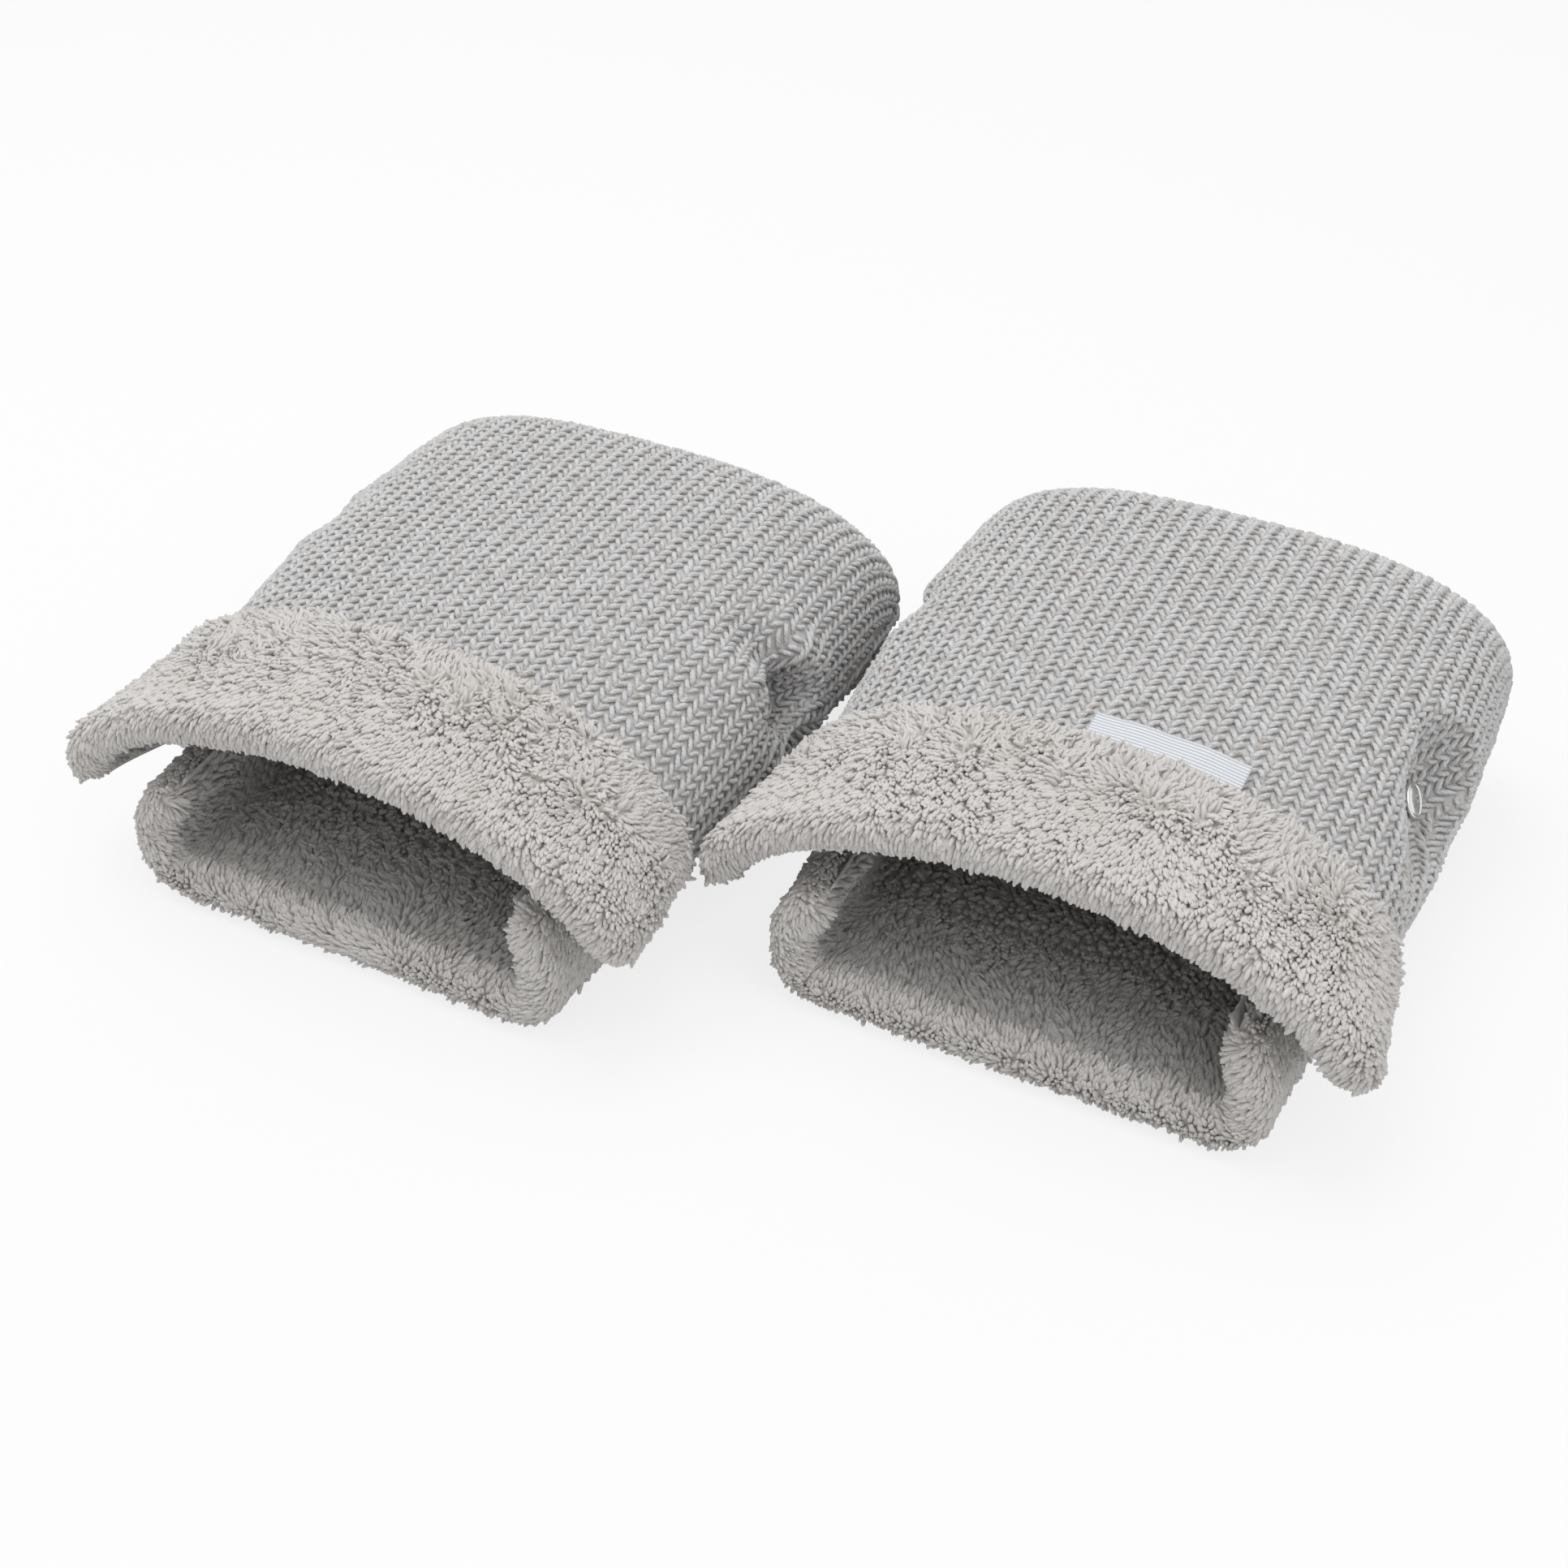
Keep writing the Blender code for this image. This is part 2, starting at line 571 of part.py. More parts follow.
def muff(name, place, tree):
    """One muff: its base half stays where it stands, its top half turns at the fold."""
    none = Vector((0, 0, 0))
    turning_point = Vector((0.0, BACK_Y, FOLD_HEIGHT))
    rest = empty(name + "_base_frame", None, place)
    hinge = empty(name + "_fold_hinge", rest, turning_point)
    top, base = (TOP, TOP_EDGE, columns(TOP_COLUMN_SHARES)), (BASE, BASE_EDGE, columns(BASE_COLUMN_SHARES))

    knit_top = link(name + "_knit_top", knit_layer(*top, TOP_SNAP), "knit", hinge, turning_point)
    lining_top = link(name + "_lining_top", lining_layer(*top, TOP_SNAP), "fleece", hinge, turning_point)
    link(name + "_cuff_top", cuff(*top), "fleece", hinge, turning_point)
    knit_base = link(name + "_knit_base", knit_layer(*base, BASE_SNAP), "knit", rest, none)
    lining_base = link(name + "_lining_base", lining_layer(*base, BASE_SNAP), "fleece", rest, none)
    link(name + "_cuff_base", cuff(*base), "fleece", rest, none)

    dimples = (PINCH_SPOKES, PINCH_DROP + GAP, PINCH_REACH + GAP)
    dimple_tool = cutter(name + "_dimple_cutter", hinge, turning_point, *dimples)
    post_tool = cutter(name + "_post_cutter", rest, none, TURNED_STEPS, POST_HOLE, POST_HOLE)
    well_tool = cutter(name + "_well_cutter", rest, none, TURNED_STEPS, LINING_WELL, LINING_WELL)
    cut(knit_top, dimple_tool)
    cut(lining_top, dimple_tool)
    cut(knit_base, post_tool)
    cut(lining_base, well_tool)

    for side, word in ((-1, "left"), (1, "right")):
        seat = Vector(snap_place(side))
        pull = empty(f"{name}_snap_pull_{word}", hinge, seat - turning_point)
        link(f"{name}_knit_pinch_{word}", pinch(tree, side), "knit", pull, seat)
        link(f"{name}_snap_cap_{word}", snap_cap(side), "snap", pull, seat)
        link(f"{name}_snap_socket_{word}", snap_socket(side), "snap", pull, seat)
        link(f"{name}_snap_stud_{word}", snap_stud(side), "snap", rest, none)
        link(f"{name}_snap_back_{word}", snap_back(side), "snap", rest, none)
    return hinge, turning_point


def main():
    for old in list(bpy.data.objects):
        bpy.data.objects.remove(old, do_unlink=True)
    tree = skin_tree()
    offset = Vector((PAIR_SPACING / 2, PAIR_STAGGER / 2, 0.0))
    muff("left", -offset, tree)
    hinge, turning_point = muff("right", offset, tree)
    link("right_label", label(), "label", hinge, turning_point, smooth=False)


main()
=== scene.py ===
"""Looks for a pair of knitted hand muffs: yarn stitches, fleece tufts, press stud caps and a bare label.

The muffs' surfaces are the CAD model's, found again here from the same sizes. A place on a muff's
panel is given by t, its distance from the fold, positive on the top half and negative on the base
half, by g, its distance from the middle line round the outside, positive on the right, and by its
depth under the knit's outer face. Metres, in the CAD model's frame.
"""

import math
from collections import namedtuple

import bpy
import numpy as np
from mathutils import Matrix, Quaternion, Vector


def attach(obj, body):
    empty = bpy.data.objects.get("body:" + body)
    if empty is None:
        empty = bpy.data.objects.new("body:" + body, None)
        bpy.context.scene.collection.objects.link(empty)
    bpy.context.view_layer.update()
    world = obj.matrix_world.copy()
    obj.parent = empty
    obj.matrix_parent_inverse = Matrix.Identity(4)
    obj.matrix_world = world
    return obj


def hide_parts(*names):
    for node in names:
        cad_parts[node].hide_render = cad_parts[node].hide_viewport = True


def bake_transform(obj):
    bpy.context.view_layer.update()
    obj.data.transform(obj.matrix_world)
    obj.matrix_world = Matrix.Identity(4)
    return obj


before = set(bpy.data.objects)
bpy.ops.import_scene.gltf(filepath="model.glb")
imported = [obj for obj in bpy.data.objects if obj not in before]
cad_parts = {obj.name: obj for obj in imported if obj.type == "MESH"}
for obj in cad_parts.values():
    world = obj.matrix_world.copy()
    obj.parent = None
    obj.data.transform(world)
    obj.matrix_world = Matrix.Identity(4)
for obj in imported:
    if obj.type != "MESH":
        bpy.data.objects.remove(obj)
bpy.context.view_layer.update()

# Sizes of the CAD model
KNIT = 0.003
LINING_PILE = 0.008
CUFF_PILE = 0.009
GAP = 0.0003
PAIR_SPACING = 0.255
PAIR_STAGGER = 0.062
MUFF_LENGTH = 0.278
BODY_HALF_WIDTH = 0.121
FOLD_HALF_WIDTH = 0.117
CROWN_HEIGHT = 0.117
MOUTH_HEIGHT = 0.102
FOLD_HEIGHT = 0.042
FOLD_LENGTH = 0.052
FOLD_SQUARENESS = 2.4
CORNER_RADIUS = 0.016
MOUTH_HALF_WIDTH = 0.113
MOUTH_FLARE = 0.011
WIDEST_HEIGHT = 0.046
MOUTH_WIDEST_HEIGHT = 0.048
HEM_HEIGHT = 0.028
MOUTH_HEM_HEIGHT = 0.042
BACK_HEM_HEIGHT = 0.044
HEM_INSET = 0.009
MOUTH_HEM_INSET = 0.002
SHOULDER_RUN = 0.140
BODY_SQUARENESS = 2.9
MOUTH_SQUARENESS = 1.9
BASE_BEND_RADIUS = 0.014
BASE_MOUTH_HALF_WIDTH = 0.092
BASE_LIP_TOP = 0.063
BASE_MOUTH_LIP_TOP = 0.048
BASE_MOUTH_KNEE = 0.026
BASE_MOUTH_LEAN = math.radians(30)
BASE_LIFT_RUN = 0.040
PASSAGE_RUN = 0.042
CUFF_TURN = 0.060
CUFF_INSIDE = 0.050
SNAP_FROM_FRONT = 0.163
SNAP_ACROSS = 0.101
SNAP_HEIGHT = 0.058
SNAP_TILT = math.radians(26)
PINCH_REACH = 0.034
PINCH_DROP = 0.024
SEAT_RADIUS = 0.0085
BASE_SEAT = -0.0086
LABEL_LENGTH = 0.060
LABEL_WIDTH = 0.016
LABEL_OFFSET = 0.024

BACK_Y = MUFF_LENGTH / 2
FRONT_Y = -MUFF_LENGTH / 2
SNAP_Y = FRONT_Y + SNAP_FROM_FRONT
ROLL_RADIUS = (2 * GAP + KNIT + 2 * CUFF_PILE) / 2
CUFF_LIFT = GAP + CUFF_PILE

# The dimples round the press studs
DIMPLE_BELOW = 0.002
PUCKER = 0.0010
PUCKERS_ROUND = 7
PUCKER_TURN = 0.6
SWELL_START_SHARE = 0.45
CREASE_WIDTH = 0.0085
CREASE_RISE = 0.052
CREASE_START = 0.014
CREASE_FOOT = 0.020
CREASE_FOOT_END = 0.004
CREASE_FOOT_SHARE = 0.35
CREASE_SLANT = 0.12
CREASE_SPREAD = 14
RIDGE_SHARE = 0.30
RIDGE_PLACE = 2.2 * CREASE_WIDTH

# The knit
WALE = 0.0080
COURSE = 0.0046
YARN = 0.00108
YARN_DEPTH = 0.0021
BACKING_DEPTH = 0.0024
BACKING_OVERLAP = 0.0004
BACKING_SHORT = 0.004
FOLD_STRIP = 0.020
HEM_WALE = 0.0026
HEM_STITCH_SHARE = 0.62
STRAY = 0.0008
KNIT_UNDER_CUFF = 0.004
WALE_OVERRUN = 0.012
WALE_STEP = 0.0005
BEND_WOBBLE = np.array([0.00010, 0.00012, 0.00010])
STITCH_WOBBLE = np.array([0.00018, 0.00022, 0.00016])
YARN_END_SHARE = 0.8
YARN_SPREAD = 0.07
YARN_SIDES, COARSE_YARN_SIDES = 6, 5
STITCH_ROOM = 0.72 * WALE
PLIES = 3
PLY_TURNS = 190.0

# The fleece
PILE = 0.0040
TUFT_LENGTH = 0.0062
TUFT_RADIUS = 0.00112
TUFT_SPACING = 0.00152
TUFT_ROOT = 0.0010
TUFT_SIDES = 4
TUFT_DROOP = 0.30
TUFT_LENGTH_SPREAD, TUFT_RADIUS_SPREAD = 0.16, 0.14
LOCK_SWAY, CURL_SWAY, TUFT_SWAY = 0.24, 0.20, 0.10
LEAST_LAY, MOST_LAY = 0.50, 1.25
START_LEAN = 0.60
END_RISE, END_LEAN = 0.36, 1.15
TUFT_BEND = 1.4
TIP_SHARE = 0.9
LINING_LAY, FOLD_LINING_LAY = 0.4, 0.3
CUFF_LAY, CUFF_LAY_START, CUFF_LAY_END = (-0.05, 1.05), 0.16, 0.52
INNER_CUFF_LAY = (0.8, -0.35)
LOCK_WIDTH = 0.0110
CURL_WIDTH = 0.0016
TONE_PATCH = 0.012
GROUND_THICKNESS = 0.0008
CUFF_END = 0.005
CUFF_END_ROUND = 0.009
CUFF_CORNER = 0.022
CUFF_ROUNDING = 0.013
CUFF_FLAT_START = 0.008
LINING_UNDER_CUFF = 0.004
LINING_INSET = 0.0022
LINING_EDGE = 0.0060
LINING_OVERLAP = 0.001
# The lining's fleece and felt and the cuffs' inner pile are darkened by this share: painted shade for the
# muff's inside
LINING_PAINTED_SHADE = 0.76

# The cuff's outer hem, from the knit up: distance ahead of the hem's line with depth under the knit's
# face, and then with the height as a share of the outer face's
CUFF_HEM = [(0.0030, 0.0006), (0.0012, -0.0012)]
CUFF_HEM_RISE = [(0.0014, 0.72), (0.0040, 1.0)]

# A press stud's cap, from its middle over the shoulder to its back: radius and height over the seat
CAP_PROFILE = np.array([
    (0.0, 0.00190), (0.0035, 0.00188), (0.0050, 0.00175), (0.0058, 0.00150),
    (0.0061, 0.00150), (0.0065, 0.00185), (0.0070, 0.00190), (0.0074, 0.00150),
    (0.0075, 0.00095), (0.0072, 0.00050), (0.0062, 0.00030), (0.0, 0.00030),
])

# The label
LABEL_FROM_CUFF = 0.0020
LABEL_FACE = 0.0013
LABEL_BACK = 0.0008
LABEL_WAVE = 0.00025
LABEL_WAVES_ACROSS, LABEL_WAVES_ALONG = 260, 150
LABEL_LINES = 10

# The photograph's view, fitted to it
VIEW_AZIMUTH = math.radians(27.1)
VIEW_ELEVATION = math.radians(38.0)
VIEW_ROLL = math.radians(-0.4)
VIEW_DISTANCE = 0.881
VIEW_TARGET = Vector((-0.0014, -0.0325, 0.043))
VIEW_FOCAL_PIXELS = 2688
VIEW_CLIP = 0.05
PHOTO_PIXELS = 1932
SENSOR = 36.0

# The studio
FLOOR_SIZE = 80
FLOOR_DROP = 0.0002
FLOOR_COLOUR = (0.86, 0.86, 0.86, 1)
FLOOR_GLOW = 0.80
SKY_LIGHT, SKY_SEEN = 0.52, 0.90
LAMP_TARGET = Vector((0, 0, 0.04))
LAMPS = [  # name, place, width and watts
    ("key", (-0.6, 0.0, 2.0), 2.4, 26.0),
    ("fill", (1.2, -0.7, 1.7), 2.0, 10.0),
]

# Samples
SPINE_STEPS = 60
OUTLINE_STEPS = 160
BEND_STEPS = 40
HALF_COLUMNS = 170
PANEL_STEP = 0.001
CUFF_ROWS, TURN_ROWS, INSIDE_ROWS = 22, 12, 20
OUTER_ROWS = len(CUFF_HEM + CUFF_HEM_RISE) + CUFF_ROWS + TURN_ROWS - 1
FLEECE_COLUMNS = 150
LINING_ROWS = 90
FOLD_LINING_ROWS, FOLD_LINING_COLUMNS = 24, 120
LABEL_ROWS, LABEL_COLUMNS = 15, 61
CAP_STEPS = 64
TINY = 1e-12

PLACES = {
    "left": np.array([-PAIR_SPACING / 2, -PAIR_STAGGER / 2, 0.0]),
    "right": np.array([PAIR_SPACING / 2, PAIR_STAGGER / 2, 0.0]),
}

# For each press stud: how far its dimple reaches to the front and upward (downward on the left side),
# how far the ribs gather to it, how far the fabric swells behind it, and how deep the crease is that
# it draws over the shoulder
Dimple = namedtuple("Dimple", "front top gather bulge crease")
DIMPLES = {
    ("left", -1): Dimple(0.036, 0.028, 0.30, 0.0020, 0.0075),
    ("left", 1): Dimple(0.036, 0.028, 0.40, 0.0042, 0.0085),
    ("right", -1): Dimple(0.036, 0.028, 0.30, 0.0016, 0.0040),
    ("right", 1): Dimple(0.076, 0.046, 0.06, 0.0030, 0.0030),
}
WORDS = {-1: "left", 1: "right"}

# Each pile: its tufts' spacing, length and radius, and whether they have their full swell
Pile = namedtuple("Pile", "spacing length radius fine")
OUTER_CUFF = Pile(TUFT_SPACING, TUFT_LENGTH, TUFT_RADIUS, True)
INNER_CUFF = Pile(TUFT_SPACING * 1.25, TUFT_LENGTH, TUFT_RADIUS * 1.25, True)
LINING = Pile(TUFT_SPACING * 1.8, TUFT_LENGTH * 0.9, TUFT_RADIUS * 1.55, False)
FOLD_LINING = Pile(TUFT_SPACING * 1.6, TUFT_LENGTH * 0.8, TUFT_RADIUS * 1.45, False)


# Surfaces

def ease(value, start, end):
    share = np.clip((value - start) / (end - start), 0.0, 1.0)
    return share * share * (3 - 2 * share)


def mix(first, second, share):
    return first + (second - first) * share


def unit(vectors):
    return vectors / np.maximum(np.linalg.norm(vectors, axis=-1, keepdims=True), TINY)


def running(steps):
    """Steps added up, from zero."""
    return np.concatenate([[0.0], np.cumsum(steps)])


def lengths(first, second):
    """Distances along a flat line of points, from its first."""
    return running(np.hypot(np.diff(first), np.diff(second)))


def superellipse(angle, squareness):
    power = 2 / squareness
    return np.sin(angle) ** power, np.cos(angle) ** power


def spine(heights, flat_y, flat_z):
    """The middle line of a half, from the fold to the front: y, z and distance."""
    rise, reach = superellipse(np.linspace(0.0, math.pi / 2, SPINE_STEPS), FOLD_SQUARENESS)
    y = np.concatenate([BACK_Y - FOLD_LENGTH + FOLD_LENGTH * reach, flat_y])
    z = np.concatenate([heights(rise), flat_z])
    return y, z, lengths(y, z)


def top_line():
    run = np.linspace(0.0, 1.0, SPINE_STEPS)[1:]
    flat_y = mix(BACK_Y - FOLD_LENGTH, FRONT_Y, run)
    flat_z = mix(CROWN_HEIGHT, MOUTH_HEIGHT, run**2)
    return spine(lambda rise: FOLD_HEIGHT + (CROWN_HEIGHT - FOLD_HEIGHT) * rise, flat_y, flat_z)


def base_line():
    flat_y = np.linspace(BACK_Y - FOLD_LENGTH, FRONT_Y, SPINE_STEPS)[1:]
    lift_end = FRONT_Y + ROLL_RADIUS + CUFF_TURN
    flat_z = CUFF_LIFT * ease(-flat_y, -lift_end - BASE_LIFT_RUN, -lift_end)
    return spine(lambda fall: FOLD_HEIGHT * (1 - fall), flat_y, flat_z)


def along_of(line, y):
    return float(np.interp(-y, -line[0], line[2]))


def spot(line, along):
    return np.interp(along, line[2], line[0]), np.interp(along, line[2], line[1])


TOP_SPINE, BASE_SPINE = top_line(), base_line()
TOP_SNAP, BASE_SNAP = along_of(TOP_SPINE, SNAP_Y), along_of(BASE_SPINE, SNAP_Y)
TOP_EDGE, BASE_EDGE = along_of(TOP_SPINE, FRONT_Y + ROLL_RADIUS), along_of(BASE_SPINE, FRONT_Y + ROLL_RADIUS)


def corner(y):
    left = 1 - min((BACK_Y - y) / CORNER_RADIUS, 1.0)
    return CORNER_RADIUS * (1 - math.sqrt(max(1 - left * left, 0.0)))


def snap_normal(side):
    return np.array([side * math.cos(SNAP_TILT), 0.0, math.sin(SNAP_TILT)])


def snap_place(side):
    return np.array([side * SNAP_ACROSS, SNAP_Y, SNAP_HEIGHT])


BASE_SNAP_PLACE = snap_place(1) + snap_normal(1) * BASE_SEAT
BASE_KNEE = BASE_SNAP_PLACE[2] - SEAT_RADIUS * math.cos(SNAP_TILT)
BASE_WAIST = BASE_SNAP_PLACE[0] + SEAT_RADIUS * math.sin(SNAP_TILT)


def top_outline(along):
    """The top half's section, from its middle line to its hem."""
    y, height = spot(TOP_SPINE, along)
    mouth = ease(along, TOP_SNAP, TOP_EDGE)
    half = mix(mix(FOLD_HALF_WIDTH, BODY_HALF_WIDTH, ease(along, 0.0, SHOULDER_RUN)), MOUTH_HALF_WIDTH, mouth)
    half += MOUTH_FLARE * ease(along, TOP_EDGE - CUFF_TURN, TOP_EDGE) - corner(y)
    lowest = FOLD_HEIGHT + GAP / 2
    widest = min(mix(WIDEST_HEIGHT, MOUTH_WIDEST_HEIGHT, mouth), mix(lowest, max(height, lowest), 0.5))
    hem = mix(BACK_HEM_HEIGHT, HEM_HEIGHT, ease(along, TOP_SNAP / 2, TOP_SNAP))
    hem = min(mix(hem, MOUTH_HEM_HEIGHT, mouth), widest)
    hem = mix(lowest, hem, ease(along, 0.0, FOLD_LENGTH))
    inset = mix(HEM_INSET, MOUTH_HEM_INSET, mouth) * (widest - hem) / (WIDEST_HEIGHT - HEM_HEIGHT)
    squareness = mix(BODY_SQUARENESS, MOUTH_SQUARENESS, mouth)
    out, up = superellipse(np.linspace(0.0, math.pi / 2, OUTLINE_STEPS), squareness)
    curl = np.linspace(0.0, 1.0, BEND_STEPS)[1:]
    across = np.concatenate([half * out, half - inset * curl**2])
    z = np.concatenate([mix(widest, height, up), mix(widest, hem, curl)])
    return across, y, z


def base_outline(along):
    """The base half's section, from its middle line to the top of its lip."""
    y, height = spot(BASE_SPINE, along)
    passage = BASE_SNAP - PASSAGE_RUN
    seat = ease(along, passage, BASE_SNAP - SEAT_RADIUS)
    mouth = ease(along, BASE_SNAP + SEAT_RADIUS, BASE_EDGE)
    half = mix(mix(FOLD_HALF_WIDTH, BASE_WAIST, ease(along, 0.0, passage)), BASE_MOUTH_HALF_WIDTH, mouth)
    half -= corner(y)
    lean = mix(SNAP_TILT * seat, BASE_MOUTH_LEAN, mouth)
    bend = min(BASE_BEND_RADIUS, max(FOLD_HEIGHT - GAP / 2 - height, 0.0))
    knee = mix(mix(bend, BASE_KNEE, seat), BASE_MOUTH_KNEE, mouth)
    lip = mix(BASE_LIP_TOP - BASE_KNEE, BASE_MOUTH_LIP_TOP - BASE_MOUTH_KNEE, mouth) * seat
    turn = np.linspace(0.0, math.pi / 2, BEND_STEPS)
    flat = half - BASE_BEND_RADIUS
    floor = flat * np.linspace(0.0, 1.0, SPINE_STEPS)[:-1]
    bent = flat + BASE_BEND_RADIUS * np.sin(turn)
    across = np.concatenate([floor, bent, [half, half - lip * math.tan(lean)]])
    above = np.concatenate([0 * floor, bend * (1 - np.cos(turn)), [knee, knee + lip]])
    return across, y, height + above


def ring_share(a, b, reach, drop):
    """Which ring of the dimple a place lies on: 0 at the seat's edge, 1 at the rim."""
    low, high = np.zeros(a.shape), np.ones(a.shape)
    for _ in range(24):
        middle = (low + high) / 2
        inside = (a / mix(SEAT_RADIUS, reach, middle)) ** 2 + (b / mix(SEAT_RADIUS, drop, middle)) ** 2 < 1
        high = np.where(inside, middle, high)
        low = np.where(inside, low, middle)
    return np.where(low < 0.9999, low, 1.0) * (np.hypot(a, b) >= SEAT_RADIUS)


def dimple(points, side, shape):
    """Draws the top half's face in to the press stud's seat, and says which places the stud pulls.

    A place lies a behind, b above and h outside the middle of the seat, but b below on the left side.
    """
    seat, normal = snap_place(side), snap_normal(side)
    backward = np.array([0.0, 1.0, 0.0])
    across = np.cross(normal, backward)
    rel = points - seat
    a, b, h = rel @ backward, rel @ across, rel @ normal
    near = (h > -DIMPLE_BELOW) & (np.abs(a) < shape.front) & (np.abs(b) < shape.top)
    reach, drop = np.where(a < 0, shape.front, PINCH_REACH), np.where(b > 0, shape.top, PINCH_DROP)
    share = np.where(near, ring_share(a, b, reach, drop), 1.0)
    pulled = near & (ring_share(a, b, PINCH_REACH, PINCH_DROP) < 1)
    pull = shape.gather * np.sin(np.pi * share) * (share < 1)
    folds = PUCKER * np.sin(PUCKERS_ROUND * np.arctan2(b, a) + PUCKER_TURN) * np.sin(np.pi * share) ** 2
    behind = np.clip(0.5 + a / PINCH_REACH, 0, 1)
    outer = np.clip((share - SWELL_START_SHARE) / (1 - SWELL_START_SHARE), 0, 1)
    swell = shape.bulge * behind * np.sin(np.pi * outer) ** 2
    new_h = h * ease(share, 0.0, 1.0) + swell + folds
    moved = seat + np.multiply.outer(a * (1 - pull), backward) + np.multiply.outer(b * (1 - pull), across)
    moved = moved + np.multiply.outer(new_h, normal)
    return np.where((share < 1)[..., None], moved, points), share, pulled


def normals_of(points):
    return unit(np.cross(np.gradient(points, axis=0), np.gradient(points, axis=1)))


def read(table, row, column):
    """A grid's values between its rows and columns."""
    r0 = np.clip(row.astype(int), 0, table.shape[0] - 2)
    c0 = np.clip(column.astype(int), 0, table.shape[1] - 2)
    fr, fc = (row - r0)[..., None], (column - c0)[..., None]
    low = table[r0, c0] * (1 - fc) + table[r0, c0 + 1] * fc
    high = table[r0 + 1, c0] * (1 - fc) + table[r0 + 1, c0 + 1] * fc
    return low * (1 - fr) + high * fr


class Panel:
    """One muff's whole panel as a fine grid, the base half's front first and the top half's front last."""

    def __init__(self, name):
        ends = TOP_SPINE[2][-1], BASE_SPINE[2][-1]
        top_rows, base_rows = (np.linspace(0.0, end, int(end / PANEL_STEP) + 1) for end in ends)
        self.t = np.concatenate([-base_rows[:0:-1], top_rows])
        shares = np.linspace(0.0, 1.0, HALF_COLUMNS + 1)
        points, girths = [], []
        for t in self.t:
            across, y, z = top_outline(t) if t >= 0 else base_outline(-t)
            length = lengths(across, z)
            x, height = (np.interp(shares * length[-1], length, values) for values in (across, z))
            right = np.stack([x, np.full(x.shape, y), height], axis=-1)
            left = right[:0:-1] * np.array([-1.0, 1.0, 1.0])
            points.append(np.concatenate([left, right]))
            girths.append(length[-1])
        plain = np.array(points)
        self.girth = np.array(girths)
        self.points = plain.copy()
        self.share = np.ones(self.points.shape[:2])
        self.dimple_side = np.zeros(self.points.shape[:2], int)
        on_top = self.t >= 0
        for side in WORDS:
            moved, share, pulled = dimple(self.points[on_top], side, DIMPLES[name, side])
            mine = np.sign(plain[on_top][..., 0]) == side
            self.points[on_top] = np.where((mine & (share < 1))[..., None], moved, self.points[on_top])
            self.share[on_top] = np.where(mine, share, self.share[on_top])
            self.dimple_side[on_top] = np.where(mine & pulled, side, self.dimple_side[on_top])
        self.points -= normals_of(self.points) * self.creases(name)[..., None]
        self.points += PLACES[name]
        self.normals = normals_of(self.points)

    def creases(self, name):
        """How far the fabric is drawn in on a line from each press stud over the shoulder and to the hem."""
        g = np.linspace(-1.0, 1.0, 2 * HALF_COLUMNS + 1)[None, :] * self.girth[:, None]
        drawn = np.zeros(g.shape)
        for side in WORDS:
            pressed = np.where(self.dimple_side == side, self.share, 1.0)
            row, column = np.unravel_index(np.argmin(pressed), pressed.shape)
            above = side * (g[row, column] - g)
            ahead = self.t[:, None] - TOP_SNAP - CREASE_SLANT * np.maximum(above, 0)
            foot = mix(CREASE_FOOT_SHARE, 1.0, ease(above, -CREASE_FOOT, CREASE_FOOT_END))
            fade = (1 - ease(above, CREASE_START, CREASE_RISE)) * foot
            fade = fade * ease(self.share, 0.25, 0.95)
            width = CREASE_WIDTH * (1 + CREASE_SPREAD * np.maximum(above, 0))
            valley = np.exp(-((ahead / width) ** 2))
            ridges = RIDGE_SHARE * np.exp(-(((np.abs(ahead) - RIDGE_PLACE) / CREASE_WIDTH) ** 2))
            mine = (np.sign(g) == side) * (self.t[:, None] > 0)
            drawn += DIMPLES[name, side].crease * mine * fade * (valley - ridges)
        return drawn

    def place(self, t, g):
        """Grid rows and columns, as real numbers, of places on the panel."""
        row = np.interp(t, self.t, np.arange(len(self.t)))
        share = np.clip(g / self.half(t), -1.0, 1.0)
        return row, (share + 1) * HALF_COLUMNS

    def half(self, t):
        """The distance round the outside from the middle line to the hem."""
        return np.interp(t, self.t, self.girth)

    def side_at(self, t, g):
        """Which press stud pulls a place: -1 or 1, and 0 for none."""
        row, column = self.place(t, g)
        return self.dimple_side[np.rint(row).astype(int), np.rint(column).astype(int)]

    def at(self, t, g, depth):
        """Points at a depth under the panel's face, and the face's normals there."""
        row, column = self.place(t, g)
        normals = unit(read(self.normals, row, column))
        return read(self.points, row, column) - normals * np.asarray(depth)[..., None], normals


# Meshes

def add(name, data):
    made = bpy.data.objects.new(name, data)
    bpy.context.scene.collection.objects.link(made)
    return made


def make(name, verts, faces, attributes=None):
    """A smooth mesh object from an array of corners and arrays of quads and triangles."""
    mesh = bpy.data.meshes.new(name)
    mesh.vertices.add(len(verts))
    mesh.vertices.foreach_set("co", np.asarray(verts, np.float32).ravel())
    loops = np.concatenate([face.ravel() for face in faces]).astype(np.int32)
    sizes = np.concatenate([np.full(len(face), face.shape[1]) for face in faces])
    starts = np.concatenate([[0], np.cumsum(sizes)[:-1]]).astype(np.int32)
    mesh.loops.add(len(loops))
    mesh.loops.foreach_set("vertex_index", loops)
    mesh.polygons.add(len(sizes))
    mesh.polygons.foreach_set("loop_start", starts)
    mesh.update(calc_edges=True)
    mesh.polygons.foreach_set("use_smooth", np.ones(len(sizes), bool))
    for key, values in (attributes or {}).items():
        kind, field = ("FLOAT", "value") if values.ndim == 1 else ("FLOAT_VECTOR", "vector")
        mesh.attributes.new(key, kind, "POINT").data.foreach_set(field, values.astype(np.float32).ravel())
    return add(name, mesh)


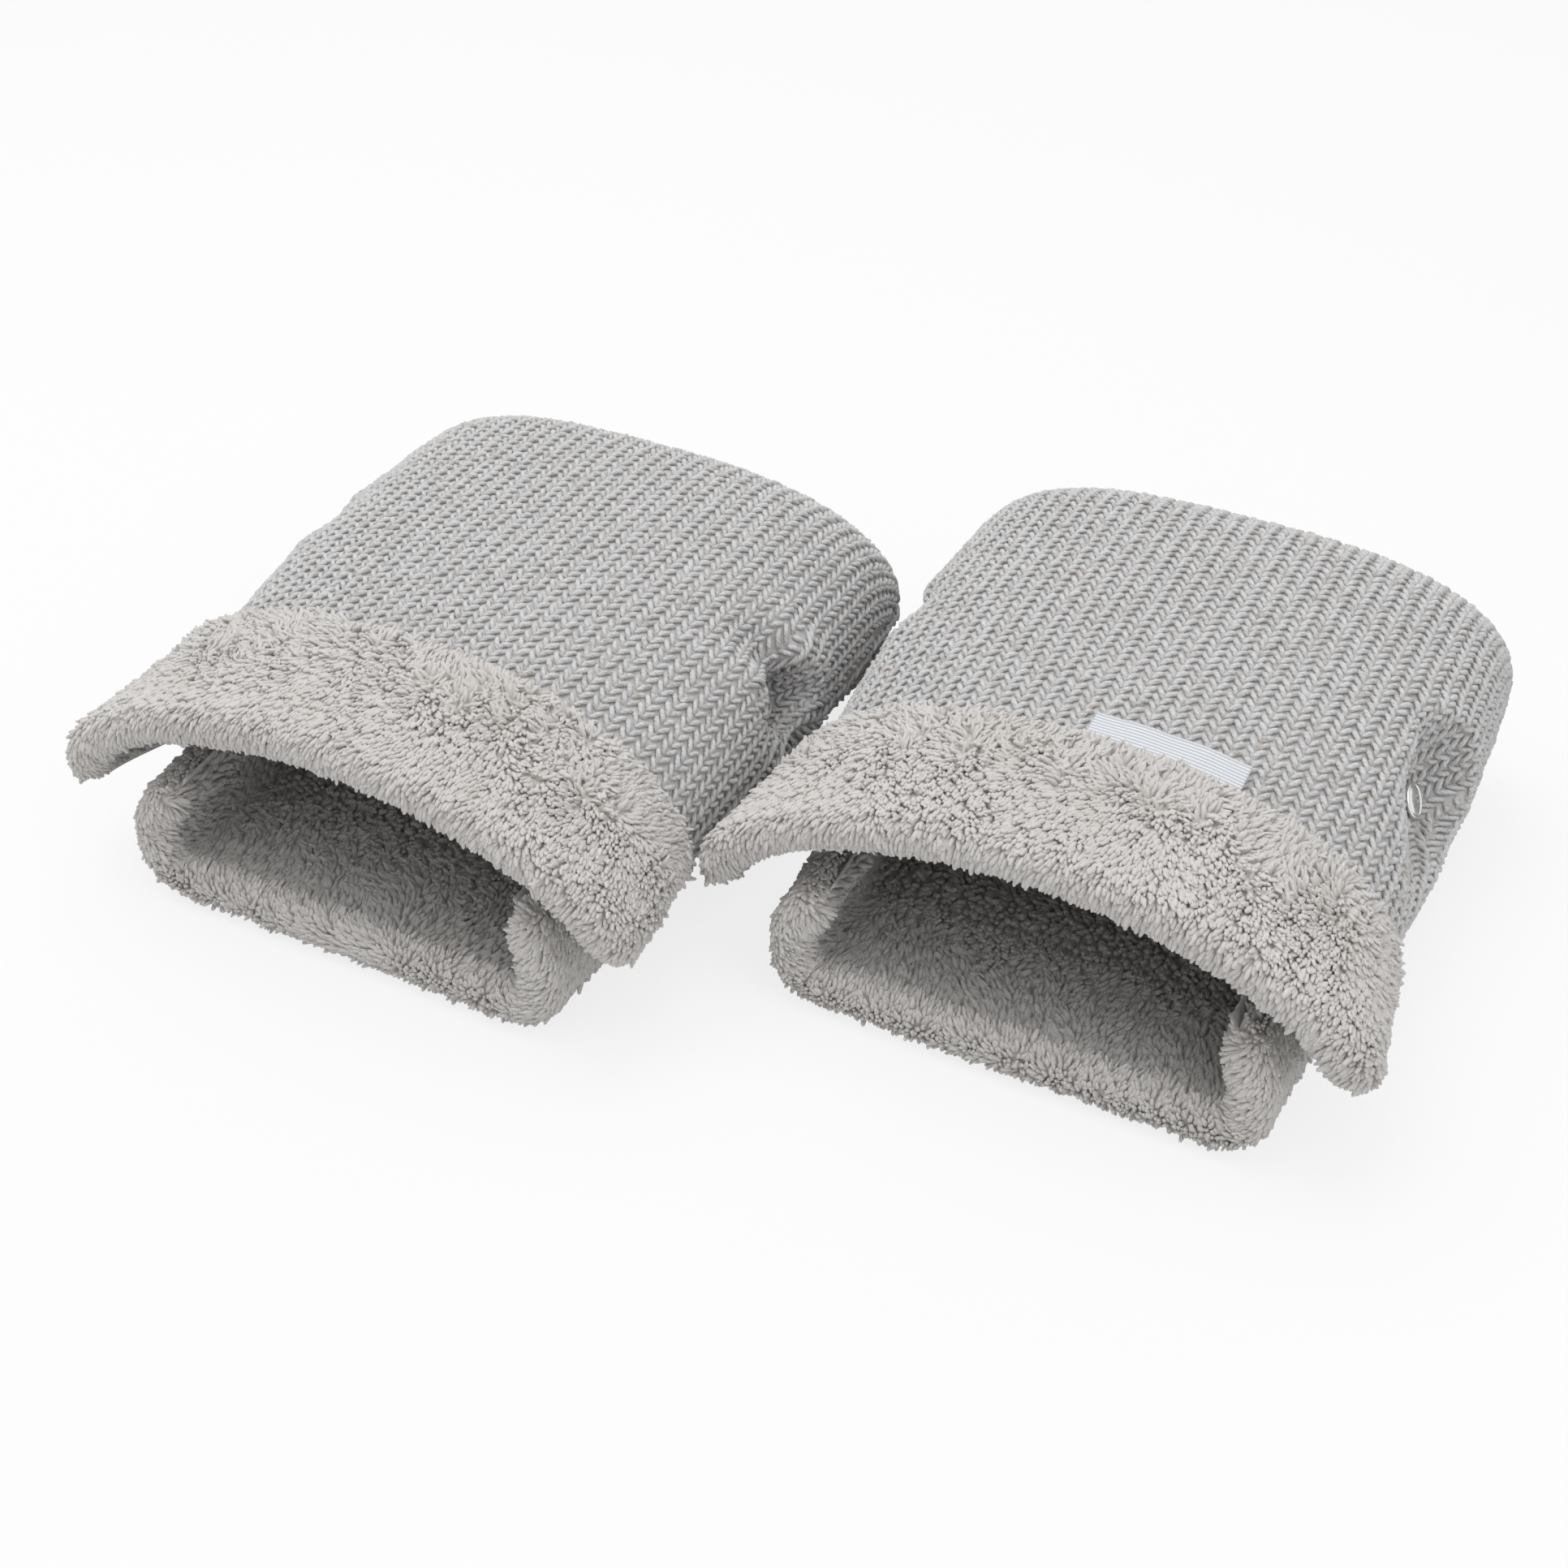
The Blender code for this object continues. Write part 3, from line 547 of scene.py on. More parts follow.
def ring_quads(index):
    """Quads between neighbouring rings of corners; the rings run round the last axis."""
    after = np.roll(index, -1, axis=-1)
    rings = [index[..., :-1, :], after[..., :-1, :], after[..., 1:, :], index[..., 1:, :]]
    return np.stack(rings, axis=-1).reshape(-1, 4)


def tubes(paths, normals, radii, sides, tip=False):
    """Tubes round many paths: corners, faces, and each corner's place round, place along and tube."""
    count, rings = paths.shape[:2]
    tangents = unit(np.gradient(paths, axis=1))
    across = unit(np.cross(tangents, normals))
    up = np.cross(across, tangents)
    angle = np.linspace(0.0, 2 * math.pi, sides, endpoint=False)
    ring = np.cos(angle)[:, None] * across[:, :, None] + np.sin(angle)[:, None] * up[:, :, None]
    verts = (paths[:, :, None] + ring * radii[:, :, None, None]).reshape(-1, 3)
    index = np.arange(count * rings * sides).reshape(count, rings, sides)
    steps = np.linalg.norm(np.diff(paths, axis=1), axis=-1)
    length = np.concatenate([np.zeros((count, 1)), np.cumsum(steps, axis=1)], axis=1)
    round_ = np.broadcast_to(angle / (2 * math.pi), (count, rings, sides)).reshape(-1)
    along = np.broadcast_to(length[:, :, None], (count, rings, sides)).reshape(-1)
    owner = np.repeat(np.arange(count), rings * sides)
    faces = [ring_quads(index)]
    if tip:
        tips = paths[:, -1] + tangents[:, -1] * radii[:, -1:] * TIP_SHARE
        last = index[:, -1]
        points = np.broadcast_to((len(verts) + np.arange(count))[:, None], last.shape)
        faces.append(np.stack([last, np.roll(last, -1, axis=1), points], axis=-1).reshape(-1, 3))
        verts = np.concatenate([verts, tips])
        round_ = np.concatenate([round_, np.zeros(count)])
        along = np.concatenate([along, length[:, -1] + radii[:, -1]])
        owner = np.concatenate([owner, np.arange(count)])
    return verts, faces, round_, along, owner


def strip_faces(rows, columns):
    index = np.arange(rows * columns).reshape(rows, columns)
    return np.stack([index[:-1, :-1], index[:-1, 1:], index[1:, 1:], index[1:, :-1]], axis=-1)


def closed(name, outer, inner, faces, attributes=None):
    """A closed shell between two copies of the same faces, with its open edges walled."""
    used = np.unique(faces)
    renumber = np.full(len(outer), -1)
    renumber[used] = np.arange(len(used))
    faces = renumber[faces]
    count = len(used)
    edges = np.concatenate([faces[:, [i, (i + 1) % 4]] for i in range(4)])
    key = np.sort(edges, axis=1)
    _, first, counts = np.unique(key[:, 0] * (count + 1) + key[:, 1], return_index=True, return_counts=True)
    rim = edges[first[counts == 1]]
    walls = np.stack([rim[:, 1], rim[:, 0], rim[:, 0] + count, rim[:, 1] + count], axis=-1)
    verts = np.concatenate([outer[used], inner[used]])
    given = {k: np.concatenate([v[used], v[used]]) for k, v in (attributes or {}).items()}
    return make(name, verts, [faces, faces[:, ::-1] + count, walls], given)


def shell(name, grid, normals, holes=None):
    """A thin closed shell on a grid."""
    faces = strip_faces(*grid.shape[:2])
    if holes is not None:
        faces = faces[~(holes[:-1, :-1] & holes[1:, 1:])]
    flat, ups = grid.reshape(-1, 3), normals.reshape(-1, 3)
    return closed(name, flat, flat - ups * GROUND_THICKNESS, faces.reshape(-1, 4)[:, ::-1])


# Knit

LEG = np.array([  # across, along and height, in parts of a wale, a course and a yarn's radius
    (0.035, 0.60, -1.25),
    (0.075, 0.46, 0.15),
    (0.165, 0.24, 0.95),
    (0.285, -0.04, 0.85),
    (0.385, -0.32, 0.10),
    (0.455, -0.62, -1.35),
])
COARSE_LEG = [0, 1, 3, 4, 5]
FOLD, BASE, PINCH_LEFT, PINCH_RIGHT, TOP_LEFT, TOP_RIGHT = range(6)
PINCHES = {PINCH_LEFT: "knit_pinch_left", PINCH_RIGHT: "knit_pinch_right"}
SHARED_PARTS = {FOLD: "knit_fold", BASE: "knit_base", **PINCHES}
YARN_PARTS = {**SHARED_PARTS, TOP_LEFT: "knit_top_left", TOP_RIGHT: "knit_top_right"}
GROUND_PARTS = {**SHARED_PARTS, TOP_LEFT: "knit_top"}


def part_at(t, side, left):
    """Which part of the knit a place belongs to."""
    top = np.where(left, TOP_LEFT, TOP_RIGHT)
    top = np.where(side == -1, PINCH_LEFT, np.where(side == 1, PINCH_RIGHT, top))
    return np.where(np.abs(t) < FOLD_STRIP, FOLD, np.where(t < 0, BASE, top))


def stitch_lines(panel):
    """Each wale's line, and its stitches' places as lengths of yarn line and distances from the fold."""
    found = []
    t_first, t_last = -(BASE_EDGE - CUFF_TURN + KNIT_UNDER_CUFF), TOP_EDGE - CUFF_TURN + KNIT_UNDER_CUFF
    fine = np.arange(t_first - WALE_OVERRUN, t_last + WALE_OVERRUN, WALE_STEP)
    half = panel.half(fine)
    lines = [
        (np.full(fine.shape, (k + 0.5) * WALE * sign), half - HEM_WALE - STITCH_ROOM, False)
        for k in range(int(max(half) / WALE) + 1) for sign in (-1, 1)
    ]
    lines += [((half - HEM_WALE) * sign, half, True) for sign in (-1, 1)]
    for g, limit, hem in lines:
        points, _ = panel.at(fine, g, np.full(fine.shape, YARN_DEPTH))
        arc = running(np.linalg.norm(np.diff(points, axis=0), axis=1))
        marks = np.arange(np.interp(t_last, fine, arc), np.interp(t_first, fine, arc), -COURSE)
        t = np.interp(marks, arc, fine)
        keep = np.abs(np.interp(t, fine, g)) <= np.interp(t, fine, limit) + 1e-9
        found.append((fine, g, arc, marks[keep], t[keep], hem))
    return found


def knit(name, panel, rng):
    """All of a muff's stitches, as pieces that belong to the panel's moving parts."""
    groups = {}
    for fine, g_line, arc, marks, t, hem in stitch_lines(panel):
        if not len(marks):
            continue
        g_here = np.interp(t, fine, g_line)
        where = part_at(t, panel.side_at(t, g_here), g_here < 0)
        for sign in (-1, 1):
            wobble = rng.normal(0.0, 1.0, (len(marks), len(LEG), 3)) * BEND_WOBBLE
            wobble += rng.normal(0.0, 1.0, (len(marks), 1, 3)) * STITCH_WOBBLE
            along = marks[:, None] + LEG[None, :, 1] * COURSE + wobble[..., 1]
            u = sign * LEG[None, :, 0] * WALE * (HEM_STITCH_SHARE if hem else 1.0) + wobble[..., 0]
            depth = YARN_DEPTH - LEG[None, :, 2] * YARN + wobble[..., 2]
            points, normals = panel.at(np.interp(along, arc, fine), np.interp(along, arc, g_line) + u, depth)
            seated = points[..., 1].max(axis=1) < BACK_Y + PLACES[name][1] + STRAY
            for key in np.unique(where[seated]):
                mine = (where == key) & seated
                part = points[mine], normals[mine], np.full(mine.sum(), sign)
                groups.setdefault(int(key), []).append(part)
    made = {}
    for key, parts in groups.items():
        points, normals, signs = (np.concatenate(values) for values in zip(*parts))
        coarse = key == BASE
        if coarse:
            points, normals = points[:, COARSE_LEG], normals[:, COARSE_LEG]
        radii = np.full(points.shape[:2], YARN) * rng.normal(1.0, YARN_SPREAD, (len(points), 1))
        radii[:, 0] *= YARN_END_SHARE
        radii[:, -1] *= YARN_END_SHARE
        sides = COARSE_YARN_SIDES if coarse else YARN_SIDES
        verts, faces, round_, along, owner = tubes(points, normals, radii, sides)
        tone = rng.uniform(0.0, 1.0, len(points))[owner]
        yarn = np.stack([round_ * signs[owner], along, tone], axis=-1)
        word = YARN_PARTS[key]
        made[word] = dress(make(f"{name}_{word}_yarn", verts, faces, {"yarn": yarn}), "yarn")
    return made


def backing(name, panel):
    """The panel's ground behind the stitches, split where its parts move apart."""
    rows = np.where((panel.t > -(BASE_EDGE - BACKING_SHORT)) & (panel.t < TOP_EDGE - BACKING_SHORT))[0][::2]
    cells = np.ix_(rows, np.arange(0, panel.points.shape[1], 2))
    back = BACK_Y + PLACES[name][1]
    outer = panel.points[cells] - panel.normals[cells] * BACKING_DEPTH
    inner = panel.points[cells] - panel.normals[cells] * (KNIT + BACKING_OVERLAP)
    outer[..., 1] = np.minimum(outer[..., 1], back - BACKING_DEPTH)
    inner[..., 1] = np.minimum(inner[..., 1], back - KNIT - BACKING_OVERLAP)
    faces = strip_faces(*outer.shape[:2])
    t = panel.t[rows]
    where = part_at(((t[:-1] + t[1:]) / 2)[:, None], panel.dimple_side[cells][:-1, :-1], True)
    made = {}
    for key, word in GROUND_PARTS.items():
        corners = outer.reshape(-1, 3), inner.reshape(-1, 3)
        piece = closed(f"{name}_{word}_ground", *corners, faces[where == key])
        made[word] = dress(piece, "knit_ground")
    return made


# Fleece

def smooth_noise(points, scale, seed):
    """A soft vector noise in space, from a few waves."""
    rng = np.random.default_rng(seed)
    total = np.zeros(points.shape)
    waves = 7
    for _ in range(waves):
        wave = rng.normal(0.0, 1.0, 3) / scale
        shift = rng.uniform(0, 2 * math.pi, 3)
        total += np.sin((points @ wave)[..., None] + shift)
    return total / math.sqrt(waves / 2)


def scatter(grid, spacing, rng, weight=None):
    """Even places over a grid of points: each with its row and column as real numbers."""
    near = grid[:-1, :-1]
    area = np.linalg.norm(np.cross(grid[1:, :-1] - near, grid[:-1, 1:] - near), axis=-1)
    if weight is not None:
        area = area * weight
    rows = area.sum(axis=1)
    count = int(rows.sum() / spacing**2)
    k = np.arange(count)
    first = (0.5 + k * 0.7548776662466927) % 1.0  # a step that spreads places evenly, as the next one does
    second = (0.5 + k * 0.5698402909980532) % 1.0
    cumulative = running(rows) / rows.sum()
    row = np.interp(first, cumulative, np.arange(len(cumulative)))
    columns = np.concatenate([np.zeros((len(area), 1)), np.cumsum(area, axis=1)], axis=1)
    columns = columns / np.maximum(columns[:, -1:], TINY)
    r = np.clip(row.astype(int), 0, len(columns) - 1)
    column = np.empty(count)
    for index in np.unique(r):
        mine = r == index
        column[mine] = np.interp(second[mine], columns[index], np.arange(columns.shape[1]))
    jitter = rng.normal(0.0, 0.25, (2, count))
    row = np.clip(row + jitter[0] * 0.5, 0, grid.shape[0] - 1.001)
    column = np.clip(column + jitter[1] * 0.5, 0, grid.shape[1] - 1.001)
    return row, column


def combed(grid, amounts):
    """The pile's lay: along the rows of a grid, by each row's amount."""
    return unit(np.gradient(grid, axis=0)) * np.asarray(amounts)[:, None, None]


def tufts(name, look, grid, normals, pile, lay_grid, rng, weight=None):
    """Rounded tufts of pile over a grid, leaning as their neighbours do and a little down."""
    row, column = scatter(grid, pile.spacing, rng, weight)
    roots, ups = read(grid, row, column), unit(read(normals, row, column))
    count = len(roots)
    sway = smooth_noise(roots, LOCK_WIDTH, 11) * LOCK_SWAY + smooth_noise(roots, CURL_WIDTH, 23) * CURL_SWAY
    sway = sway + rng.normal(0, TUFT_SWAY, roots.shape)
    lay = read(lay_grid, row, column) + sway + np.array([0.0, 0.0, -TUFT_DROOP])
    lay = lay - (lay * ups).sum(-1, keepdims=True) * ups
    amount = np.linalg.norm(lay, axis=-1, keepdims=True)
    lay = lay / np.maximum(amount, 1e-9) * np.clip(amount, LEAST_LAY, MOST_LAY)
    start = unit(ups + START_LEAN * lay)
    finish = unit(END_RISE * ups + END_LEAN * lay)
    reach = pile.length * np.clip(rng.normal(1.0, TUFT_LENGTH_SPREAD, (count, 1)), 0.55, 1.45)
    marks = np.array([0.0, 0.45, 0.84]) if pile.fine else np.array([0.0, 0.5, 0.88])
    swell = np.array([0.85, 1.0, 0.58]) if pile.fine else np.array([0.8, 1.0, 0.5])
    paths = roots[:, None] - TUFT_ROOT * ups[:, None] + reach[:, None] * (
        marks[:, None] * start[:, None] + 0.5 * (marks**2)[:, None] * (finish - start)[:, None] * TUFT_BEND
    )
    paths[..., 2] = np.maximum(paths[..., 2], pile.radius * 0.8)
    radii = pile.radius * swell[None, :] * np.clip(rng.normal(1.0, TUFT_RADIUS_SPREAD, (count, 1)), 0.6, 1.4)
    facing = np.repeat(ups[:, None], len(marks), axis=1)
    verts, faces, round_, along, owner = tubes(paths, facing, radii, TUFT_SIDES, tip=True)
    tone = 0.5 + 0.25 * rng.normal(0, 1, count) + 0.2 * smooth_noise(roots, TONE_PATCH, 5)[:, 0]
    # Each corner's share of the way from its tuft's root to its tip, which sets the painted shade at the
    # roots
    rise = np.clip(along / reach[owner, 0], 0, 1)
    fibre = np.stack([round_ + owner % 977, along, np.clip(tone, 0, 1)[owner]], axis=-1)
    return dress(make(name, verts, faces, {"fibre": fibre, "rise": rise}), look)


def cuff_path(edge):
    """The cuff's section, from its outer hem over the front fold to its inner edge: along and depth."""
    outside, inside = -GAP - CUFF_PILE + PILE, KNIT + GAP + CUFF_PILE - PILE
    middle, radius = (outside + inside) / 2, (inside - outside) / 2
    back = edge - CUFF_TURN
    path = [(back + run, depth) for run, depth in CUFF_HEM]
    path += [(back + run, outside * share) for run, share in CUFF_HEM_RISE]
    path += [(a, outside) for a in np.linspace(back + CUFF_FLAT_START, edge, CUFF_ROWS)]
    turn = np.linspace(0, math.pi, TURN_ROWS)[1:-1]
    path += [(edge + radius * math.sin(v), middle - radius * math.cos(v)) for v in turn]
    path += [(a, inside) for a in np.linspace(edge, edge - CUFF_INSIDE, INSIDE_ROWS)]
    return np.array(path), back, middle


def cuff_grid(panel, top):
    """The cuff's core: a band folded round the panel's front edge, rounded at its ends."""
    sign = 1 if top else -1
    path, back, middle = cuff_path(TOP_EDGE if top else BASE_EDGE)
    across = np.linspace(-1.0, 1.0, FLEECE_COLUMNS)
    t = np.repeat(path[:, :1], FLEECE_COLUMNS, axis=1)
    half = panel.half(sign * t)
    g = across[None, :] * (half - CUFF_END)
    corner_share = np.clip((np.abs(g) - (half - CUFF_END - CUFF_CORNER)) / CUFF_CORNER, 0, 1)
    forward = np.clip((t - back - CUFF_TURN / 3) / (CUFF_TURN * 2 / 3), 0, 1)
    rounding = np.where(g > 0, CUFF_ROUNDING, CUFF_ROUNDING / 4)
    t = t - rounding * (1 - np.sqrt(1 - corner_share**2)) * forward
    over = np.clip((np.abs(g) - (half - CUFF_END - CUFF_END_ROUND)) / CUFF_END_ROUND, 0, 1)
    keep = np.sqrt(np.maximum(1 - over**2, 0.0))
    depth = middle + (path[:, 1:] - middle) * np.maximum(keep, 0.02)
    points, ups = panel.at(sign * t, g, depth)
    normals = np.cross(np.gradient(points, axis=1), np.gradient(points, axis=0))
    face = slice(8, 20)  # rows of the outer face, which tell which way is out
    normals = unit(normals * np.sign((normals[face] * ups[face]).sum()))
    sideways = unit(np.gradient(panel.at(sign * t, g, 0 * t)[0], axis=1)) * np.sign(across)[None, :, None]
    return points, unit(normals + sideways * (2.5 * over**3)[..., None])


def lining_grid(panel, rows, columns):
    """The lining's ground, which turns in to the knit at its side hems."""
    across = np.linspace(-1.0, 1.0, columns)
    t = np.repeat(rows[:, None], columns, axis=1)
    half = panel.half(t)
    g = across[None, :] * (half - LINING_INSET)
    over = np.clip((np.abs(g) - (half - LINING_INSET - LINING_EDGE)) / LINING_EDGE, 0, 1)
    depth = mix(KNIT, KNIT + GAP + LINING_PILE - PILE + GROUND_THICKNESS, np.sqrt(1 - over**2))
    points, ups = panel.at(t, g, depth)
    sideways = unit(np.gradient(points, axis=1)) * np.sign(across)[None, :, None]
    holes = panel.side_at(t, across[None, :] * half) != 0
    return points, unit(sideways * (1.2 * over**2)[..., None] - ups), holes


# Materials

class Wiring:
    """A material's or the world's nodes, added by short calls that give back an output."""

    def __init__(self, owner):
        owner.use_nodes = True
        self.owner = owner
        self.nodes, self.links = owner.node_tree.nodes, owner.node_tree.links

    def fill(self, node, inputs):
        """Gives a node's inputs their numbers and colours, or links them to other nodes' outputs."""
        for key, value in inputs.items():
            if isinstance(value, bpy.types.NodeSocket):
                self.links.new(value, node.inputs[key])
            else:
                node.inputs[key].default_value = value

    def node(self, kind, inputs, **settings):
        made = self.nodes.new("ShaderNode" + kind)
        for key, value in settings.items():
            setattr(made, key, value)
        self.fill(made, inputs)
        return made.outputs

    def maths(self, operation, *values):
        return self.node("Math", dict(enumerate(values)), operation=operation)[0]

    def noise(self, scale, detail=2.0, vector=None):
        """Noise over the given places, or over the piece's own space."""
        if vector is None:
            vector = self.node("TexCoord", {})["Object"]
        return self.node("TexNoise", {"Vector": vector, "Scale": scale, "Detail": detail})["Fac"]

    def attribute(self, name):
        """The three numbers of an attribute."""
        return self.node("SeparateXYZ", {0: self.node("Attribute", {}, attribute_name=name)["Vector"]})

    def ramp(self, value, stops):
        made = self.nodes.new("ShaderNodeValToRGB")
        while len(made.color_ramp.elements) < len(stops):
            made.color_ramp.elements.new(0.5)
        for element, (place, colour) in zip(made.color_ramp.elements, stops):
            element.position = place
            element.color = (*colour, 1.0)
        self.fill(made, {0: value})
        return made.outputs[0]

    def multiply(self, first, second):
        inputs = {"Factor": 1.0, "A": first, "B": second}
        return self.node("Mix", inputs, data_type="RGBA", blend_type="MULTIPLY")["Result"]

    def bump(self, height, strength, distance, **below):
        inputs = {"Strength": strength, "Distance": distance, "Height": height, **below}
        return self.node("Bump", inputs)[0]

    def surface(self, inputs):
        self.fill(self.nodes["Principled BSDF"], inputs)
        return self.owner


def shaded(stops, shade):
    return [(place, tuple(shade * part for part in tone)) for place, tone in stops]


def yarn_look(look):
    """Plied grey yarn: slanting plies, fine fibres, and flecks a little warmer and darker."""
    round_, along, lot = look.attribute("yarn")
    twist = look.maths("MULTIPLY_ADD", along, PLY_TURNS, round_)
    ply = look.maths("SINE", look.maths("MULTIPLY", twist, 2 * math.pi * PLIES))
    strands = {
        "X": look.maths("MULTIPLY", twist, 34.0),
        "Y": look.maths("MULTIPLY", along, 700.0),
        "Z": look.maths("MULTIPLY", lot, 57.0),
    }
    fibres = look.noise(1.0, 3.0, look.node("CombineXYZ", strands)[0])
    blots = look.noise(320.0)
    shades = [(0.28, (0.55, 0.540, 0.532)), (0.5, (0.645, 0.642, 0.640)), (0.78, (0.73, 0.732, 0.736))]
    flecks = [(0.30, (0.80, 0.74, 0.69)), (0.44, (1.0, 1.0, 1.0)), (0.72, (1.04, 1.04, 1.05))]
    each = [(0.0, (0.94, 0.94, 0.94)), (1.0, (1.04, 1.04, 1.04))]
    tint = look.multiply(look.ramp(fibres, shades), look.ramp(blots, flecks))
    plied = look.bump(ply, strength=0.42, distance=0.00022)
    return look.surface({
        "Base Color": look.multiply(tint, look.ramp(lot, each)),
        "Roughness": 0.92,
        "Specular IOR Level": 0.15,
        "Sheen Weight": 0.15,
        "Sheen Roughness": 0.5,
        "Normal": look.bump(fibres, strength=0.42, distance=0.00025, Normal=plied),
    })


def ground_look(look, stops, scale, detail, roughness, strength, distance):
    """A blotched, rough ground that shows between stitches or tufts."""
    blots = look.noise(scale, detail)
    return look.surface({
        "Base Color": look.ramp(blots, stops),
        "Roughness": roughness,
        "Specular IOR Level": 0.1,
        "Normal": look.bump(blots, strength, distance),
    })


def knit_ground_look(look):
    stops = [(0.3, (0.52, 0.51, 0.505)), (0.7, (0.66, 0.65, 0.645))]
    return ground_look(look, stops, scale=420.0, detail=2.0, roughness=0.95, strength=0.6, distance=0.0006)


# The felt is a little darker than the tufts: painted shade in the gaps between them
def felt_look(look, shade=1.0):
    stops = shaded([(0.3, (0.62, 0.59, 0.565)), (0.7, (0.70, 0.675, 0.655))], shade)
    return ground_look(look, stops, scale=500.0, detail=3.0, roughness=1.0, strength=0.9, distance=0.0012)


def fleece_look(look, shade=1.0):
    """Teddy fleece: each tuft darker and warmer at its root, which is painted shade deep in the pile, with
    fine fibres along it.
    """
    rise = look.node("Attribute", {}, attribute_name="rise")["Fac"]
    round_, along, lot = look.attribute("fibre")
    strands = {"X": look.maths("MULTIPLY", round_, 26.0), "Y": look.maths("MULTIPLY", along, 520.0)}
    fine = look.noise(1.0, 2.5, look.node("CombineXYZ", strands)[0])
    # Painted shade: each tuft darkens and warms toward its root, where the pile shades itself
    root_shade_tones = [
        (0.0, (0.665, 0.635, 0.608)), (0.35, (0.68, 0.657, 0.637)),
        (0.75, (0.685, 0.668, 0.652)), (1.0, (0.687, 0.672, 0.659)),
    ]
    each = [(0.0, (0.965, 0.957, 0.945)), (0.6, (1.0, 1.0, 1.0)), (1.0, (1.02, 1.02, 1.02))]
    threads = [(0.3, (0.95, 0.945, 0.94)), (0.65, (1.02, 1.02, 1.02))]
    tone = look.multiply(look.ramp(rise, shaded(root_shade_tones, shade)), look.ramp(lot, each))
    return look.surface({
        "Base Color": look.multiply(tone, look.ramp(fine, threads)),
        "Roughness": 0.95,
        "Specular IOR Level": 0.12,
        "Sheen Weight": 0.40,
        "Sheen Roughness": 0.45,
        "Normal": look.bump(fine, strength=0.3, distance=0.0004),
    })


def plate_look(look):
    """Bright nickel plate, faintly brushed."""
    rub = look.noise(900.0)
    return look.surface({
        "Base Color": look.ramp(rub, [(0.3, (0.78, 0.78, 0.77)), (0.7, (0.86, 0.86, 0.86))]),
        "Roughness": look.node("MapRange", {"Value": rub, "To Min": 0.10, "To Max": 0.24})[0],
        "Metallic": 1.0,
    })


def tape_look(look):
    """Bare woven tape: cool white with fine grey lengthwise lines."""
    across = look.attribute("tape")["Y"]
    wave = look.maths("SINE", look.maths("MULTIPLY", across, 2 * math.pi * LABEL_LINES))
    stops = [(0.0, (0.44, 0.47, 0.50)), (0.35, (0.58, 0.61, 0.64)), (0.70, (0.76, 0.78, 0.81))]
    return look.surface({
        "Base Color": look.ramp(look.node("MapRange", {"Value": wave, "From Min": -1.0})[0], stops),
        "Roughness": 0.55,
        "Specular IOR Level": 0.3,
        "Sheen Weight": 0.2,
        "Normal": look.bump(wave, strength=0.4, distance=0.0001),
    })


LOOKS = {
    "yarn": yarn_look,
    "knit_ground": knit_ground_look,
    "fleece": fleece_look,
    # The lining's looks are the fleece's and the felt's, darkened: painted shade inside the muff
    "lining": lambda look: fleece_look(look, LINING_PAINTED_SHADE),
    "fleece_ground": felt_look,
    "lining_ground": lambda look: felt_look(look, LINING_PAINTED_SHADE),
    "snap_plate": plate_look,
    "tape": tape_look,
}
MATERIALS = {}


def dress(piece, look):
    if look not in MATERIALS:
        MATERIALS[look] = LOOKS[look](Wiring(bpy.data.materials.new(look)))
    piece.data.materials.clear()
    piece.data.materials.append(MATERIALS[look])
    return piece


# A muff

def pull_blend(piece):
    """The dimple's fabric, fixed where it lies in the world."""
    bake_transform(piece)


def fold_blend(piece):
    """The strip at the fold, fixed where it lies in the world."""
    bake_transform(piece)


def snap_cap(name, side):
    """A bright cap: flat face, round shoulder, rolled rim."""
    angle = np.linspace(0, 2 * math.pi, CAP_STEPS, endpoint=False)
    radius, height = CAP_PROFILE[:, None, 0], np.repeat(CAP_PROFILE[:, 1:], CAP_STEPS, axis=1)
    rings = np.stack([radius * np.cos(angle), radius * np.sin(angle), height], axis=-1)
    quads = ring_quads(np.arange(rings.shape[0] * CAP_STEPS).reshape(-1, CAP_STEPS))
    turn = Vector((0, 0, 1)).rotation_difference(Vector(snap_normal(side))).to_matrix()
    verts = rings.reshape(-1, 3) @ np.array(turn).T + snap_place(side) + PLACES[name]
    solid = f"{name}_snap_cap_{WORDS[side]}"
    piece = dress(make(f"{solid}_plate", verts, [quads[:, ::-1]]), "snap_plate")
    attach(piece, f"{name}_pull_{WORDS[side]}")
    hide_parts(solid)


def label(panel):
    """The bare tape, lying on the stitches just behind the cuff."""
    front = TOP_EDGE - CUFF_TURN - LABEL_FROM_CUFF
    rows = np.linspace(front - LABEL_WIDTH, front, LABEL_ROWS)
    columns = np.linspace(LABEL_OFFSET - LABEL_LENGTH / 2, LABEL_OFFSET + LABEL_LENGTH / 2, LABEL_COLUMNS)
    t, g = np.meshgrid(rows, columns, indexing="ij")
    wave = LABEL_WAVE * np.sin((g - columns[0]) * LABEL_WAVES_ACROSS)
    wave = wave * np.cos((t - rows[0]) * LABEL_WAVES_ALONG)
    outer, inner = (panel.at(t, g, wave - above)[0].reshape(-1, 3) for above in (LABEL_FACE, LABEL_BACK))
    tape = np.stack([(g - columns[0]) / LABEL_LENGTH, (t - rows[0]) / LABEL_WIDTH, 0 * t], axis=-1)
    faces = strip_faces(*t.shape).reshape(-1, 4)
    piece = closed("right_label_tape", outer, inner, faces, {"tape": tape.reshape(-1, 3)})
    dress(piece, "tape")
    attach(piece, "right_top")
    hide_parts("right_label")


